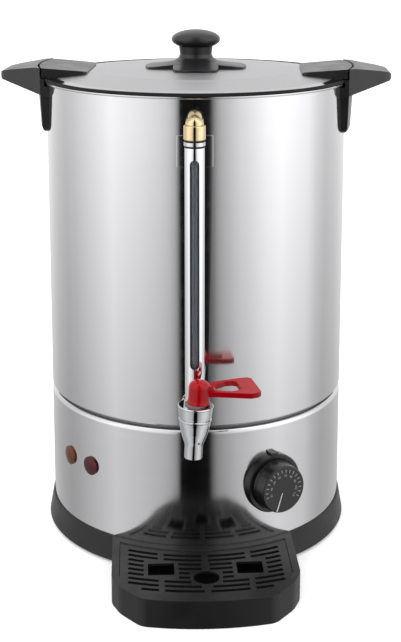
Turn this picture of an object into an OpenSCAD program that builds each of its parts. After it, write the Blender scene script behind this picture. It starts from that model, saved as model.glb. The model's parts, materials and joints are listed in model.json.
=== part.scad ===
// Hot water urn: steel tank on a heated base, lift-off lid, sight gauge,
// self-closing tap, thermostat, indicator lamps and a drip tray.
// Millimetres. +Z is up, the origin is on the tank's axis at table level and
// the tap faces -Y. An azimuth is measured from the tap towards +X.

/* [Body] */
// Outside diameter of the steel body
body_d = 290; // [270:1:310]
// Thickness of the sheet steel
wall = 0.8; // [0.6:0.1:1.2]
// Height of the tank's rim above the table
rim_z = 447.5; // [420:0.5:480]
// Height of the seam between tank and skirt
seam_z = 140; // [135:0.5:150]
// How far the rolled rim stands out of the wall
rim_reach = 3; // [2.4:0.1:3.4]
// Depth of the joggle below the seam
joggle = 4; // [3:0.1:5]
// Height of the groove between the tank's edge and the skirt's bead
groove_h = 3; // [2:0.1:4]
// Radius of the bead at the skirt's top edge
bead_r = 4.5; // [3.6:0.1:5.5]

/* [Base] */
// Height of the plastic ring's top edge
ring_top_z = 26; // [22:0.5:30]
// Height of the plastic ring's bottom edge
ring_bottom_z = 2; // [1.6:0.1:3]
// Flare of the plastic ring at its bottom
ring_flare = 5.5; // [4.5:0.1:7]
// Thickness of the ring's inward floor lip
ring_lip_t = 3; // [2.4:0.1:4]
// Width of the ring's inward floor lip
ring_lip_w = 17; // [14:0.5:20]
// Thickness of the bottom plate
plate_t = 1; // [0.8:0.1:1.5]
// Diameter of a rubber foot
foot_d = 18; // [14:0.5:22]
// Gap between a foot and the ring's floor lip
foot_gap = 7; // [2:0.5:12]

/* [Heater] */
// Diameter of the aluminium heat spreader
spreader_d = 200; // [180:1:220]
// Thickness of the heat spreader
spreader_t = 4; // [3:0.5:6]
// Radius of the heating element's ring
element_at = 75; // [65:1:85]
// Diameter of the heating element's sheath
element_d = 8; // [6:0.5:9]

/* [Handles] */
// Width of a handle where it meets the lid
grip_w = 91; // [80:1:96]
// Width of a handle at its tip
tip_w = 58; // [40:1:64]
// Reach of the handle's tip from the body's wall
grip_reach = 43.5; // [38:0.5:52]
// Height of a handle's top above the rim
grip_rise = 12.7; // [11.5:0.1:15]
// Fall of a handle's top from the gap to the tip
grip_fall = 5; // [3:0.5:8]
// Turn of the two handles, clockwise from above
handle_turn = 2; // [0:0.5:4]
// Width of a leg at its top
leg_top_w = 86; // [76:1:88]
// Width of a leg at its bottom
leg_bottom_w = 78; // [66:1:80]
// Depth of a leg below the rim
leg_drop = 49.5; // [44:0.5:56]

/* [Lid] */
// Height of the lid's centre above the rim
lid_rise = 9.8; // [8:0.1:12]
// Diameter of the raised plateau of the lid
plateau_d = 196; // [180:1:206]
// Depth of the spigot that centres the lid
spigot_drop = 10; // [8:0.5:14]
// Lift of the lid's knob over the lid's centre
knob_h = 36.4; // [32:0.2:42]
// Diameter of the knob's head
knob_head_d = 47.4; // [42:0.2:52]
// Diameter of the knob's neck
knob_neck_d = 31; // [26:0.2:34]
// Span of the knob's four-lobed foot
knob_span = 98; // [90:1:106]
// Width of one lobe of the knob's foot
lobe_w = 43; // [38:0.5:46]
// Reach of a lug inwards from the body's wall
lug_len = 43.5; // [39:0.5:47]
// Fall of a lug's top towards the axis
lug_fall = 3.5; // [2:0.5:5]

/* [Gauge] */
// Distance of the gauge's axis from the wall
gauge_off = 18; // [17:0.5:20]
// Outside diameter of the gauge glass
glass_d = 10; // [9:0.2:11]
// Outside diameter of the chromed guard
guard_d = 17.4; // [16.6:0.2:18]
// Wall thickness of the guard
guard_t = 1; // [0.8:0.1:1.4]
// Width of the guard's slot
slot_w = 8.2; // [7:0.2:9]
// Height of the guard's top edge above the table
guard_top_z = 405.5; // [385:0.5:420]
// Diameter of the brass nut
nut_d = 19.2; // [18.4:0.2:21]
// Height of the brass nut
nut_h = 13; // [11:0.5:15]
// Height of the brass vent cap
cap_h = 7.4; // [5:0.2:8]

/* [Tap] */
// Distance of the tap's axis from the wall
tap_off = 50; // [47:0.5:54]
// Height of the spout's lower end
spout_z = 135; // [128:0.5:138]
// Outside diameter of the spout
spout_d = 16; // [15:0.5:17]
// Height of the shank's axis
shank_z = 161; // [159:0.5:163]
// Outside diameter of the threaded shank
shank_d = 22; // [20:0.5:23]
// Bore of the shank and of the outlet
tap_bore = 11; // [9:0.5:11.5]
// Height of the top of the bonnet
bonnet_z = 184; // [182:0.5:187]
// Diameter of the bonnet at its top
bonnet_d = 31.4; // [30.4:0.2:33]
// Diameter of the valve stem
stem_d = 7; // [6:0.5:7.5]
// Thickness of the wear washer
wear_t = 1.2; // [0.8:0.1:2]
// Height of the lever's hub
hub_h = 21; // [19:0.5:23]
// Diameter of the hub's foot
hub_d = 20.4; // [19.6:0.2:21.6]
// How far the hub's centre stands off the stem towards the loop
hub_off = 2.5; // [1.5:0.5:3]
// Reach of the lever from the tap's axis
lever_reach = 55; // [50:0.5:60]
// Width of the lever's loop at its end
loop_w = 33; // [28:0.5:36]
// Thickness of the loop
loop_t = 4.8; // [4:0.2:6]
// Width of the loop's bars
loop_bar = 3.8; // [3.2:0.2:4.6]
// Tilt of the loop about its own length
loop_roll = 5; // [0:1:8]
// Lean of the tap about its shank, towards the lever's side
tap_lean = 2.6; // [0:0.2:4]
// Rise of the lever's loop away from the hub
lever_rise = 3; // [0:0.5:6]
// Direction of the lever, turned back from +X
lever_turn = 17; // [10:1:20]

/* [Controls] */
// Azimuth of the thermostat
dial_az = 29.5; // [27:0.5:33]
// Height of the thermostat's axis
dial_z = 82; // [76:0.5:86]
// Diameter of the thermostat's bezel
bezel_d = 56.5; // [54:0.5:60]
// Diameter of the thermostat's knob
dial_d = 46; // [42:0.5:48]
// Height of the knob's face above the wall
dial_h = 21; // [18:0.5:24]
// Azimuth of the amber lamp
amber_az = -56.3; // [-60:0.5:-54]
// Azimuth of the red lamp
red_az = -43; // [-46:0.5:-40]
// Height of the lamps
lamp_z = 89; // [84:0.5:94]
// Diameter of a lamp's lens
lens_d = 18; // [16:0.5:20]
// Height of the appliance inlet
inlet_z = 66; // [60:0.5:72]

/* [Drip tray] */
// Height of the tray
tray_h = 26; // [23:0.5:30]
// Reach of the tray's front edge from the tank's axis
tray_front = 247; // [236:1:260]
// Width of the tray
tray_w = 169; // [160:1:178]
// Azimuth at which the tray is pushed in
tray_turn = 3; // [0:0.5:5]
// Wall thickness of the tray
tray_wall = 3; // [2:0.5:4]
// Width of the rim around the grille
tray_rim = 7; // [6:0.5:9]
// Thickness of the grille
grille_t = 2.4; // [2:0.2:3]
// Pitch of the rows of slots
slot_pitch = 8.1; // [7.7:0.1:8.4]
// Width of a drain slot
drain_w = 4; // [3:0.2:4.6]

/* [Hidden] */
$fn = 96;
fit = 0.1;       // gap between curved faces of one body
run = 0.05;      // radial clearance of a shaft that turns or slides
free = 0.4;      // gap between curved faces of different bodies
seat = 0.3;      // gap of a loose piece over its seat
eps = 1;         // how far a cutter runs past a face
body_r = body_d / 2;
inner_r = body_r - wall;
joggle_r = body_r - joggle;
rim_t = 2.8;
joint_low_z = seam_z - 10;
groove_z = seam_z + groove_h;
curl_r = 2;       // outside radius of the tank's curled lower edge
tank_floor_z = seam_z + 1;

ring_top_r = body_r + 1.6;
ring_foot_r = body_r + ring_flare;
skirt_low_z = ring_bottom_z + ring_lip_t;
plate_z = skirt_low_z + plate_t;
base_screw_at = body_r - ring_lip_w + 5;
base_screw_azs = [60, 180, 300];
foot_at = body_r - ring_lip_w - foot_d / 2 - foot_gap;
foot_azs = [45, 135, 225, 315];
foot_stub_d = 6;
foot_barb = 1;    // how far a foot's barb stands over the hole's edge
base_screw_bite = 7;

// Fasteners: shank diameter, head diameter, head height
m3 = [3, 5.6, 1.8];
m4 = [4, 7.6, 1.7];
m5 = [5, 9, 2.4];

spreader_z = tank_floor_z - spreader_t;
element_z = spreader_z - element_d / 2 - fit;
cold_half = 15;   // half of the gap between the element's cold ends, in degrees
cold_drop = 24;
wire_d = 2.6;

seal_t = 1;
seal_z = rim_z + seal_t;
bulb_r = 0.8;
bulb_at = body_r + rim_reach - 0.1;
lid_t = 0.8;
brim_r = body_r + 1.4;
spigot_r = inner_r - 1.8;
lid_z = seal_z + lid_t;
bulb_top_z = lid_z + 0.9;
lug_foot_z = bulb_top_z + free;
shelf_z = lug_foot_z - 0.8;   // top of the handle under the lug
lid_c = lid_z + lid_rise - 2;
lug_gap_r = bulb_at + bulb_r + 2.3;
grip_gap_r = lug_gap_r + 2;
grip_z = rim_z + grip_rise;
leg_z = rim_z - leg_drop;
leg_t = [7.4, 5.6];
gusset_z = rim_z - 11;
handle_screw_zs = [rim_z + seal_t - spigot_drop - m5[1] / 2 - 1.5, rim_z - 38];
handle_screw_sag = inner_r - sqrt(pow(inner_r, 2) - pow(m5[1] / 2, 2));
handle_bite = 4;  // depth of a handle screw in its leg
lug_inner = body_r - lug_len;
lug_screw_x = lug_inner + 26;
lug_screw_y = 22;
lug_bite = 4;     // depth of a lug screw in its lug
shoulder_r = spigot_r - 7;         // where the lid's shoulder starts to rise
shoulder_rise = 3.7;               // height of the shoulder
plateau_foot_r = plateau_d / 2 + 3;
lug_seat_z = lid_z + 1.5 + shoulder_rise
  * (shoulder_r - norm([lug_screw_x, lug_screw_y])) / (shoulder_r - plateau_foot_r);
handle_azs = [90 - handle_turn, -90 - handle_turn];

gauge_r = body_r + gauge_off;
boss_r = 9.6;
boss_z = bonnet_z - 6;
glass_low_z = boss_z - 9;
washer_t = 1.5;
eye_t = 3.5;
nut_z = guard_top_z + 2 * washer_t + eye_t;
glass_top_z = nut_z + nut_h - 4;
cap_z = nut_z + nut_h;
slot_low_z = boss_z + 29;
slot_top_z = guard_top_z - 10.5;
bracket_w = 32.4;
bracket_h = 28;
bracket_z = nut_z - 27;

tap_r = body_r + tap_off;
seat_z = 152;
chamber_r = 9;
neck_r = 11.5;
body_top_z = 172;
neck_z = body_top_z + 6;
collar_z = seat_z + 8;
collar_t = 1.5;
spring_r = 6.2;
spring_wire = 1.2;
spring_turns = 5;
spring_low_z = collar_z + collar_t;
spring_top_z = bonnet_z - 3;
wear_z = bonnet_z + wear_t;
pin_z = wear_z + 7.8;
pin_d = 3;
pin_len = hub_d - 6;
hub_top_z = wear_z + hub_h;
stem_top_z = pin_z + 3.4;
tilt_max = 16;
loop_z = wear_z + 6.2;
flange_r = 15;
flange_t = 4;
flange_at = body_r + 2;
shank_in = 25;
nut_inner_t = 8;
shank_nut_af = 30;

knob_low = 4.6;
thermostat_w = 36;
thermostat_h = 40;
thermostat_t = 22;
bushing_d = 10;
shaft_d = 6;
dial_screw_at = 15;
sagitta = 1.5;   // how far a flat box stands behind the curved skirt
lens_edge = 1.4;
lens_dome = 1.2;
lens_r = (pow(lens_d / 2 - 0.3, 2) + pow(lens_dome, 2)) / (2 * lens_dome);
lens_a = acos((lens_d / 2 - 0.3) / lens_r);
lamp_d = 12;
lamp_len = 20;
inlet_body = [27.6, 20];
inlet_flange = [50, 25];
inlet_depth = 24;
inlet_pin_xs = [-7, 0, 7];
block = [34, 14, 16];
block_y = 60;
block_xs = [-10, 0, 10];
reset_at = [-52, -48];
reset_d = 7;
cutout_size = [26, 30, 28];
bulb_d = 6;
bulb_z = spreader_z - bulb_d / 2 - fit;

grille_z = tray_h - 0.8 - grille_t;
ledge_w = 3;
tray_floor = 2.5;
rim_low_z = tray_h - 7;
corner_cuts = [[39, 24.4], [23, 18.5]];  // angle from +X, depth of cut
cup_hole_d = 23.4;
window = [23.6, 21.4];
window_x = 40;
first_row = body_r + 18.2;
hole_at = first_row + 5 * slot_pitch - 0.3;
window_at = first_row + 3 * slot_pitch - 1.2;

// ---- helpers ----

// Points on an arc in a profile, from angle a0 to a1
function arc(c, r, a0, a1, n = 10) =
  [for (i = [0 : n]) let (a = a0 + (a1 - a0) * i / n) [c[0] + r * cos(a), c[1] + r * sin(a)]];

// Places children on the wall: their +Z points outwards and their +Y points up
module on_wall(az, z) {
  rotate([0, 0, az]) translate([0, -body_r, z]) rotate([90, 0, 0]) children();
}

module around(azs, r) {
  for (az = azs) rotate([0, 0, az]) translate([0, -r, 0]) children();
}

// A tube standing on z0
module tube(r_out, r_in, z0, z1) {
  translate([0, 0, z0]) difference() {
    cylinder(r = r_out, h = z1 - z0);
    translate([0, 0, -eps]) cylinder(r = r_in, h = z1 - z0 + 2 * eps);
  }
}

// A pan-head screw: the head sits on z = 0 and the shank points along +Z
module screw(size, length) {
  translate([0, 0, -size[2]]) cylinder(d = size[1], h = size[2]);
  translate([0, 0, -0.01]) cylinder(d = size[0], h = length);
}

// A round rod swept along a list of points
module rod(points, d, sides = 8) {
  n = len(points);
  function dir(i) =
    let (a = points[max(i - 1, 0)], b = points[min(i + 1, n - 1)]) (b - a) / norm(b - a);
  function side(i) =
    let (t = dir(i), u = abs(t[2]) > 0.9 ? [1, 0, 0] : [0, 0, 1], s = cross(t, u)) s / norm(s);
  rings = [for (i = [0 : n - 1]) let (s = side(i), v = cross(dir(i), s))
    for (k = [0 : sides - 1]) let (a = 360 * k / sides)
      points[i] + (s * cos(a) + v * sin(a)) * d / 2];
  faces = concat(
    [[for (k = [0 : sides - 1]) k]],
    [for (i = [0 : n - 2]) for (k = [0 : sides - 1])
      [i * sides + k, (i + 1) * sides + k,
       (i + 1) * sides + (k + 1) % sides, i * sides + (k + 1) % sides]],
    [[for (k = [sides - 1 : -1 : 0]) (n - 1) * sides + k]]);
  polyhedron(points = rings, faces = faces, convexity = 6);
}

// A smooth curve through three control points, as points for rod()
function bend(a, b, c, n = 8) =
  [for (i = [0 : n]) let (t = i / n) a * (1 - t) * (1 - t) + b * 2 * t * (1 - t) + c * t * t];

// ---- body ----

// The steel tank: wall, rolled rim above and joggle below the seam
module tank_shell() {
  curl_c = [body_r - curl_r, groove_z + curl_r];
  color("silver") difference() {
    union() {
      rotate_extrude() polygon(concat(
        [[joggle_r, joint_low_z], [joggle_r, groove_z]], arc(curl_c, curl_r, -90, 0, 5),
        [[body_r, rim_z], [inner_r, rim_z]], arc(curl_c, curl_r - wall, 0, -90, 5),
        [[joggle_r - wall, groove_z + wall], [joggle_r - wall, joint_low_z]]));
      rotate_extrude() translate([inner_r, rim_z - rim_t])
        square([body_r + rim_reach - rim_t / 2 - inner_r, rim_t]);
      rotate_extrude() translate([body_r + rim_reach - rim_t / 2, rim_z - rim_t / 2])
        circle(d = rim_t, $fn = 32);
    }
    on_wall(0, shank_z) cylinder(d = shank_d + 2 * fit, h = 40, center = true);
    for (az = handle_azs, z = handle_screw_zs)
      on_wall(az, z) cylinder(d = m5[0] + 2 * fit, h = 20, center = true);
  }
}

// The tank's pressed bottom, whose flange is welded inside the joggle
module tank_bottom() {
  r = joggle_r - wall - fit;
  color("silver") rotate_extrude() polygon([
    [0, tank_floor_z], [r - wall, tank_floor_z], [r - wall, joint_low_z], [r, joint_low_z],
    [r, tank_floor_z + wall / 2], [r - wall / 2, tank_floor_z + wall],
    [0, tank_floor_z + wall]]);
}

// The skirt below the seam, with its top edge curled in
module skirt() {
  c = [body_r - bead_r, seam_z - bead_r];
  fold = acos((joggle_r + fit - c[0]) / (bead_r - wall));
  color("silver") difference() {
    rotate_extrude() polygon(concat(
      [[inner_r, skirt_low_z], [body_r, skirt_low_z]],
      arc(c, bead_r, 0, fold, 8), arc(c, bead_r - wall, fold, 0, 8)));
    on_wall(dial_az, dial_z) {
      cylinder(d = bushing_d + 2 * fit, h = 30, center = true);
      for (s = [-1, 1]) translate([0, s * dial_screw_at, 0])
        cylinder(d = m3[0] + 2 * fit, h = 30, center = true);
    }
    for (az = [amber_az, red_az]) on_wall(az, lamp_z)
      cylinder(d = lamp_d + 2 * fit, h = 30, center = true);
    on_wall(180, inlet_z) {
      cube([inlet_body[0] + 2 * fit, inlet_body[1] + 2 * fit, 40], center = true);
      inlet_screw_places() cylinder(d = m3[0] + 2 * fit, h = 30, center = true);
    }
  }
}

// Outer line of the flared ring, moved out by a gap
function ring_line(gap) = [
  [ring_foot_r + gap - 1, ring_bottom_z], [ring_foot_r + gap, ring_bottom_z + 1.4],
  [ring_top_r + gap, ring_top_z - 0.6], [ring_top_r + gap - 0.6, ring_top_z]];

// The plastic ring that carries the skirt and the bottom plate on its lip
module base_ring() {
  lip_r = body_r - ring_lip_w;
  color([0.16, 0.16, 0.17]) difference() {
    rotate_extrude() polygon(concat(ring_line(0), [
      [body_r + fit, ring_top_z], [body_r + fit, skirt_low_z], [lip_r, skirt_low_z],
      [lip_r, ring_bottom_z]]));
    around(base_screw_azs, base_screw_at)
      cylinder(d = m4[0] + 2 * fit, h = 30, center = true);
  }
}

// The bottom plate with weld nuts, vents, foot holes and the reset hole
module bottom_plate() {
  vent = [2.6, 26];
  vent_pitch = 8;
  vent_rows = [[65 - body_r, 4], [body_r - 45, 2]];   // place and half the count of each row
  color([0.6, 0.6, 0.61]) difference() {
    union() {
      translate([0, 0, skirt_low_z]) cylinder(r = inner_r - 1, h = plate_t);
      around(base_screw_azs, base_screw_at)
        translate([0, 0, skirt_low_z]) cylinder(r = 5, h = 6);
    }
    around(base_screw_azs, base_screw_at)
      cylinder(d = m4[0] + 2 * fit, h = 30, center = true);
    around(foot_azs, foot_at) cylinder(d = foot_stub_d + 2 * fit, h = 30, center = true);
    translate([reset_at[0], reset_at[1], 0])
      cylinder(d = reset_d + 2 * run, h = 30, center = true);
    for (row = vent_rows, i = [-row[1] : row[1]]) translate([i * vent_pitch, row[0], 0])
      cube([vent[0], vent[1], 30], center = true);
  }
}

module base_screws() {
  color("silver") around(base_screw_azs, base_screw_at)
    translate([0, 0, ring_bottom_z]) screw(m4, ring_lip_t + base_screw_bite);
}

// Rubber feet, each held by a barbed stub in the bottom plate
module feet() {
  color([0.1, 0.1, 0.1]) around(foot_azs, foot_at) {
    cylinder(d = foot_d, h = skirt_low_z);
    translate([0, 0, skirt_low_z - 0.01]) cylinder(d = foot_stub_d, h = plate_t + 0.02);
    translate([0, 0, plate_z]) cylinder(d = foot_stub_d + 2 * foot_barb, h = 2 * foot_barb);
  }
}

// ---- heater ----

module heat_spreader() {
  color([0.75, 0.75, 0.76]) translate([0, 0, spreader_z])
    cylinder(d = spreader_d, h = spreader_t);
}

// The sheathed element: an open ring with two cold ends that point down
module heating_element() {
  color([0.35, 0.33, 0.32]) translate([0, 0, element_z]) {
    rotate([0, 0, 90 + cold_half]) rotate_extrude(angle = 360 - 2 * cold_half)
      translate([element_at, 0]) circle(d = element_d, $fn = 32);
    for (s = [-1, 1]) rotate([0, 0, 90 + s * cold_half]) translate([element_at, 0, 0]) {
      sphere(d = element_d, $fn = 32);
      translate([0, 0, -cold_drop + 8]) cylinder(d = element_d, h = cold_drop - 8);
      translate([0, 0, -cold_drop]) cylinder(d = element_d / 3, h = 8.01);
    }
  }
}

// ---- thermostat and cut-out ----

// The thermostat behind the skirt, with its bushing and spindle
module thermostat_body() {
  back = -wall - sagitta;
  color([0.85, 0.83, 0.78]) on_wall(dial_az, dial_z) difference() {
    union() {
      translate([-thermostat_w / 2, -thermostat_h / 2, back - thermostat_t])
        cube([thermostat_w, thermostat_h, thermostat_t]);
      translate([0, 0, back - 0.01]) cylinder(d = bushing_d, h = sagitta + wall + 1);
      translate([0, 0, back]) cylinder(d = shaft_d, h = sagitta + wall + 13);
    }
    for (s = [-1, 1]) translate([0, s * dial_screw_at, back - 8])
      cylinder(d = m3[0] + 2 * fit, h = 20);
  }
}

// A capillary's bulb: a rod of 6 mm that lies under the heat spreader
module bulb(at, direction) {
  translate(at) rotate([0, 90, direction]) cylinder(d = bulb_d, h = 26);
}

// The thermostat's capillary tube and bulb
module thermostat_probe() {
  back_r = body_r - wall - sagitta - thermostat_t;
  wall_side = [sin(dial_az), -cos(dial_az), 0];
  from = wall_side * back_r + [0, 0, dial_z];
  rise = wall_side * (back_r - 50) + [0, 0, dial_z + 22];
  bulb_end = [26, -26, bulb_z];
  color([0.72, 0.45, 0.3]) {
    rod(concat(bend(from, [rise[0], rise[1], dial_z], rise),
      bend(rise + [0, 0, 2], [34, -34, bulb_z], bulb_end)), 2);
    bulb(bulb_end + [0.5, -0.5, 0], 135);
  }
}

// The fixed bezel around the knob, its back shaped to the skirt
module thermostat_bezel() {
  well_r = dial_d / 2 + 1.4;
  r = bezel_d / 2;
  color([0.13, 0.13, 0.14]) difference() {
    on_wall(dial_az, dial_z) difference() {
      union() {
        rotate_extrude() polygon([[bushing_d / 2 + fit, -6], [r, -6], [r, 4.4], [r - 1, 5.4],
          [well_r, 5.4], [well_r, 2.4], [bushing_d / 2 + fit, 2.4]]);
        translate([-3.6, r - 2, -6]) cube([7.2, 3.9, 11.4]);
      }
      for (s = [-1, 1]) translate([0, s * dial_screw_at, 0])
        cylinder(d = m3[0] + 2 * fit, h = 30, center = true);
    }
    cylinder(r = body_r + fit, h = 2 * seam_z, $fn = 256);
  }
}

module thermostat_screws() {
  color("silver") on_wall(dial_az, dial_z) for (s = [-1, 1])
    translate([0, s * dial_screw_at, 2.4]) rotate([180, 0, 0]) screw(m3, 10);
}

// The thermostat's knob: a smooth tapered body with a round-edged flat face
module thermostat_knob() {
  r = dial_d / 2;
  color([0.13, 0.13, 0.14]) on_wall(dial_az, dial_z) difference() {
    rotate_extrude() polygon(concat(
      [[0, knob_low], [r + 0.8, knob_low], [r + 0.8, knob_low + 2], [r + 0.2, knob_low + 4]],
      arc([r - 1.8, dial_h - 1.4], 1.4, 0, 90, 6), [[0, dial_h]]));
    cylinder(d = shaft_d + 2 * fit, h = 15);
  }
}

// The boil-dry cut-out on the bottom plate, with a well for its reset button
module cutout_body() {
  size = cutout_size;
  color([0.85, 0.83, 0.78]) translate([reset_at[0], reset_at[1], plate_z]) difference() {
    translate([-size[0] / 2, -size[1] / 2, 0]) cube(size);
    translate([0, 0, -eps]) cylinder(d = reset_d + 3, h = 8 + eps);
  }
}

module cutout_probe() {
  low = [reset_at[0], reset_at[1], plate_z + cutout_size[2]];
  mid = [reset_at[0] + 6, reset_at[1] + 4, dial_z + 10];
  bulb_end = [-30, -28, bulb_z];
  color([0.72, 0.45, 0.3]) {
    rod(concat(bend(low, [low[0], low[1], dial_z - 20], mid),
      bend(mid + [0.5, 0.5, 2], [-40, -38, bulb_z], bulb_end)), 2);
    bulb(bulb_end - [0.5, 0.5, 0], 45);
  }
}

// The button stands out below the plate and its collar rests on it
module reset_button() {
  color("firebrick") translate([reset_at[0], reset_at[1], 0]) {
    translate([0, 0, skirt_low_z - 2.4]) cylinder(d = reset_d, h = 9);
    translate([0, 0, plate_z]) cylinder(d = reset_d + 2, h = 1.5);
  }
}

// ---- lamps ----

module lens() {
  difference() {
    union() {
      translate([0, 0, -1]) cylinder(d = lens_d, h = 1 + lens_edge);
      translate([0, 0, lens_edge - 0.01]) rotate_extrude()
        polygon(concat([[0, 0]], arc([0, lens_dome - lens_r], lens_r, lens_a, 90, 8)));
    }
    translate([0, 0, -1 - eps]) cylinder(d = lamp_d + 2 * fit, h = 2 + eps);
  }
}

module amber_lens() {
  color([0.45, 0.25, 0.05]) difference() {
    on_wall(amber_az, lamp_z) lens();
    cylinder(r = body_r + fit, h = seam_z, $fn = 256);
  }
}

module red_lens() {
  color([0.4, 0.02, 0.04]) difference() {
    on_wall(red_az, lamp_z) lens();
    cylinder(r = body_r + fit, h = seam_z, $fn = 256);
  }
}

module lamp_bodies() {
  color([0.9, 0.9, 0.88]) for (az = [amber_az, red_az]) on_wall(az, lamp_z) {
    translate([0, 0, -wall - lamp_len]) cylinder(d = lamp_d, h = lamp_len + wall + 1);
    for (s = [-1, 1]) translate([s * 2.5 - 0.4, -1.5, -wall - lamp_len - 6]) cube([0.8, 3, 6.01]);
  }
}

module lamp_nuts() {
  color([0.3, 0.3, 0.3]) for (az = [amber_az, red_az]) on_wall(az, lamp_z)
    translate([0, 0, -wall - 0.4 - 4]) difference() {
      cylinder(d = lamp_d + 6, h = 4, $fn = 6);
      translate([0, 0, -eps]) cylinder(d = lamp_d + 2 * fit, h = 4 + 2 * eps);
    }
}

// ---- power inlet and wiring ----

module inlet_screw_places() {
  for (s = [-1, 1]) translate([s * 20, 0, 0]) children();
}

// A three-pole appliance inlet whose flange is shaped to the skirt
module inlet_socket() {
  color([0.1, 0.1, 0.1]) difference() {
    on_wall(180, inlet_z) difference() {
      union() {
        difference() {
          translate([-inlet_flange[0] / 2, -inlet_flange[1] / 2, -4])
            cube([inlet_flange[0], inlet_flange[1], 7]);
          rotate([90, 0, 0]) translate([0, -body_r, 0])
            cylinder(r = body_r + fit, h = 60, center = true);
        }
        translate([-inlet_body[0] / 2, -inlet_body[1] / 2, -inlet_depth])
          cube([inlet_body[0], inlet_body[1], inlet_depth + 1]);
      }
      translate([-12.2, -8, -16]) cube([24.4, 16, 30]);
      for (x = inlet_pin_xs) translate([x, 0, -inlet_depth / 2 - 4])
        cube([2.2, 4.4, inlet_depth + 12], center = true);
      inlet_screw_places() cylinder(d = m3[0] + 2 * fit, h = 40, center = true);
    }
  }
}

module inlet_pins() {
  color("gold") on_wall(180, inlet_z) for (x = inlet_pin_xs)
    translate([x, 0, -inlet_depth / 2 - 4.5]) cube([2, 4, 25], center = true);
}

module inlet_screws() {
  color("silver") on_wall(180, inlet_z) inlet_screw_places()
    translate([0, 0, 3]) rotate([180, 0, 0]) screw(m3, 10);
}

// The terminal block on the bottom plate, with a through bore for each pole
module terminal_block() {
  color([0.88, 0.86, 0.8]) translate([0, block_y, plate_z]) difference() {
    translate([-block[0] / 2, -block[1] / 2, 0]) cube(block);
    for (x = block_xs) translate([x, 0, 8]) rotate([90, 0, 0])
      cylinder(d = 4, h = 40, center = true);
  }
}

// An insulated wire in two bends: out of its terminal, then on to the other end
module wire(a, b, c, d, e) {
  rod(concat(bend(a, b, c, 6), [for (i = [1 : 6]) bend(c, d, e, 6)[i]]), wire_d);
}

// Wires from the inlet to the block, and on to the heater, thermostat and lamps
module wiring() {
  back = block_y + block[1] / 2;
  front = block_y - block[1] / 2;
  low = plate_z + 8;
  pin_face = body_r - inlet_depth - 7;
  cold_end = [element_at * sin(cold_half), element_at * cos(cold_half), element_z - cold_drop];
  dial_r = body_r - wall - sagitta - thermostat_t;
  dial_end = [dial_r * sin(dial_az), -dial_r * cos(dial_az), dial_z - 12];
  color([0.5, 0.12, 0.1]) {
    for (i = [0 : 2]) wire([block_xs[i], back, low], [block_xs[i], back + 12, low],
      [block_xs[i], back + 14, low + 18], [block_xs[i] * 0.8, back + 16, inlet_z],
      [inlet_pin_xs[i], pin_face, inlet_z]);
    for (s = [-1, 1]) wire([s * block_xs[2], front, low], [s * block_xs[2], front - 12, low],
      [s * block_xs[2], front - 12, low + 24], [s * cold_end[0], cold_end[1], dial_z - 20],
      [s * cold_end[0], cold_end[1], cold_end[2]]);
    wire([0, front, low], [0, front - 24, low], [14, front - 60, low + 8],
      [dial_end[0] * 0.7, dial_end[1] * 0.7, dial_end[2]], dial_end);
    for (az = [amber_az, red_az]) {
      end_r = body_r - wall - lamp_len - 6;
      end = [end_r * sin(az), -end_r * cos(az), lamp_z];
      start = [-block[0] / 2, block_y + (az == red_az ? -3 : 3), low];
      wire(start, start - [20, 0, 0], start - [45, 20, -20],
        [end[0] * 0.8, end[1] * 0.8, lamp_z], end);
    }
  }
}

// ---- handles ----

// Plan of a handle: wide at the gap, narrow and rounded at the tip
module grip_plan(h) {
  tip_x = body_r + grip_reach;
  tip_r = 16;
  linear_extrude(h) polygon(concat(
    [[body_r - 10, -grip_w / 2], [body_r + 1, -grip_w / 2]],
    arc([tip_x - tip_r, -tip_w / 2 + tip_r], tip_r, -65, 0, 6),
    arc([tip_x - tip_r, tip_w / 2 - tip_r], tip_r, 0, 65, 6),
    [[body_r + 1, grip_w / 2], [body_r - 10, grip_w / 2]]));
}

// Side of a handle: a sloping top, a rounded tip and an underside that falls to the leg
module grip_side(w) {
  tip_x = body_r + grip_reach;
  tip_z = grip_z - grip_fall;
  r = 4.6;
  c = [tip_x - r, tip_z - r + 0.2];
  under = [c[0] - 0.6, c[1] - r];
  slope = (under[1] - gusset_z) / (under[0] - body_r - leg_t[0]);
  root_x = body_r - 12;
  rotate([90, 0, 0]) linear_extrude(w, center = true) polygon(concat(
    [[root_x, under[1] - slope * (under[0] - root_x)], under],
    arc(c, r, -70, 75, 6),
    [[tip_x - 13, grip_z - grip_fall * 0.62], [tip_x - 36, grip_z], [root_x, grip_z]]));
}

// The leg follows the wall: it thins and narrows downwards
module leg() {
  low = leg_z + 7;
  top_z = gusset_z + 8;
  intersection() {
    rotate_extrude() polygon([
      [body_r - 2, top_z], [body_r + leg_t[0], top_z], [body_r + leg_t[0], gusset_z - 2],
      [body_r + leg_t[1], leg_z + 5], [body_r + leg_t[1] - 1.4, leg_z + 1.4],
      [body_r + leg_t[1] - 3.2, leg_z], [body_r - 2, leg_z]]);
    rotate([90, 0, 90]) linear_extrude(body_r + 40) polygon([
      [-leg_top_w / 2, top_z], [-leg_top_w / 2, gusset_z - 2], [-leg_bottom_w / 2, low],
      [-leg_bottom_w / 2 + 2, leg_z + 2], [-leg_bottom_w / 2 + 6, leg_z],
      [leg_bottom_w / 2 - 6, leg_z], [leg_bottom_w / 2 - 2, leg_z + 2],
      [leg_bottom_w / 2, low], [leg_top_w / 2, gusset_z - 2], [leg_top_w / 2, top_z]]);
  }
}

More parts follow.
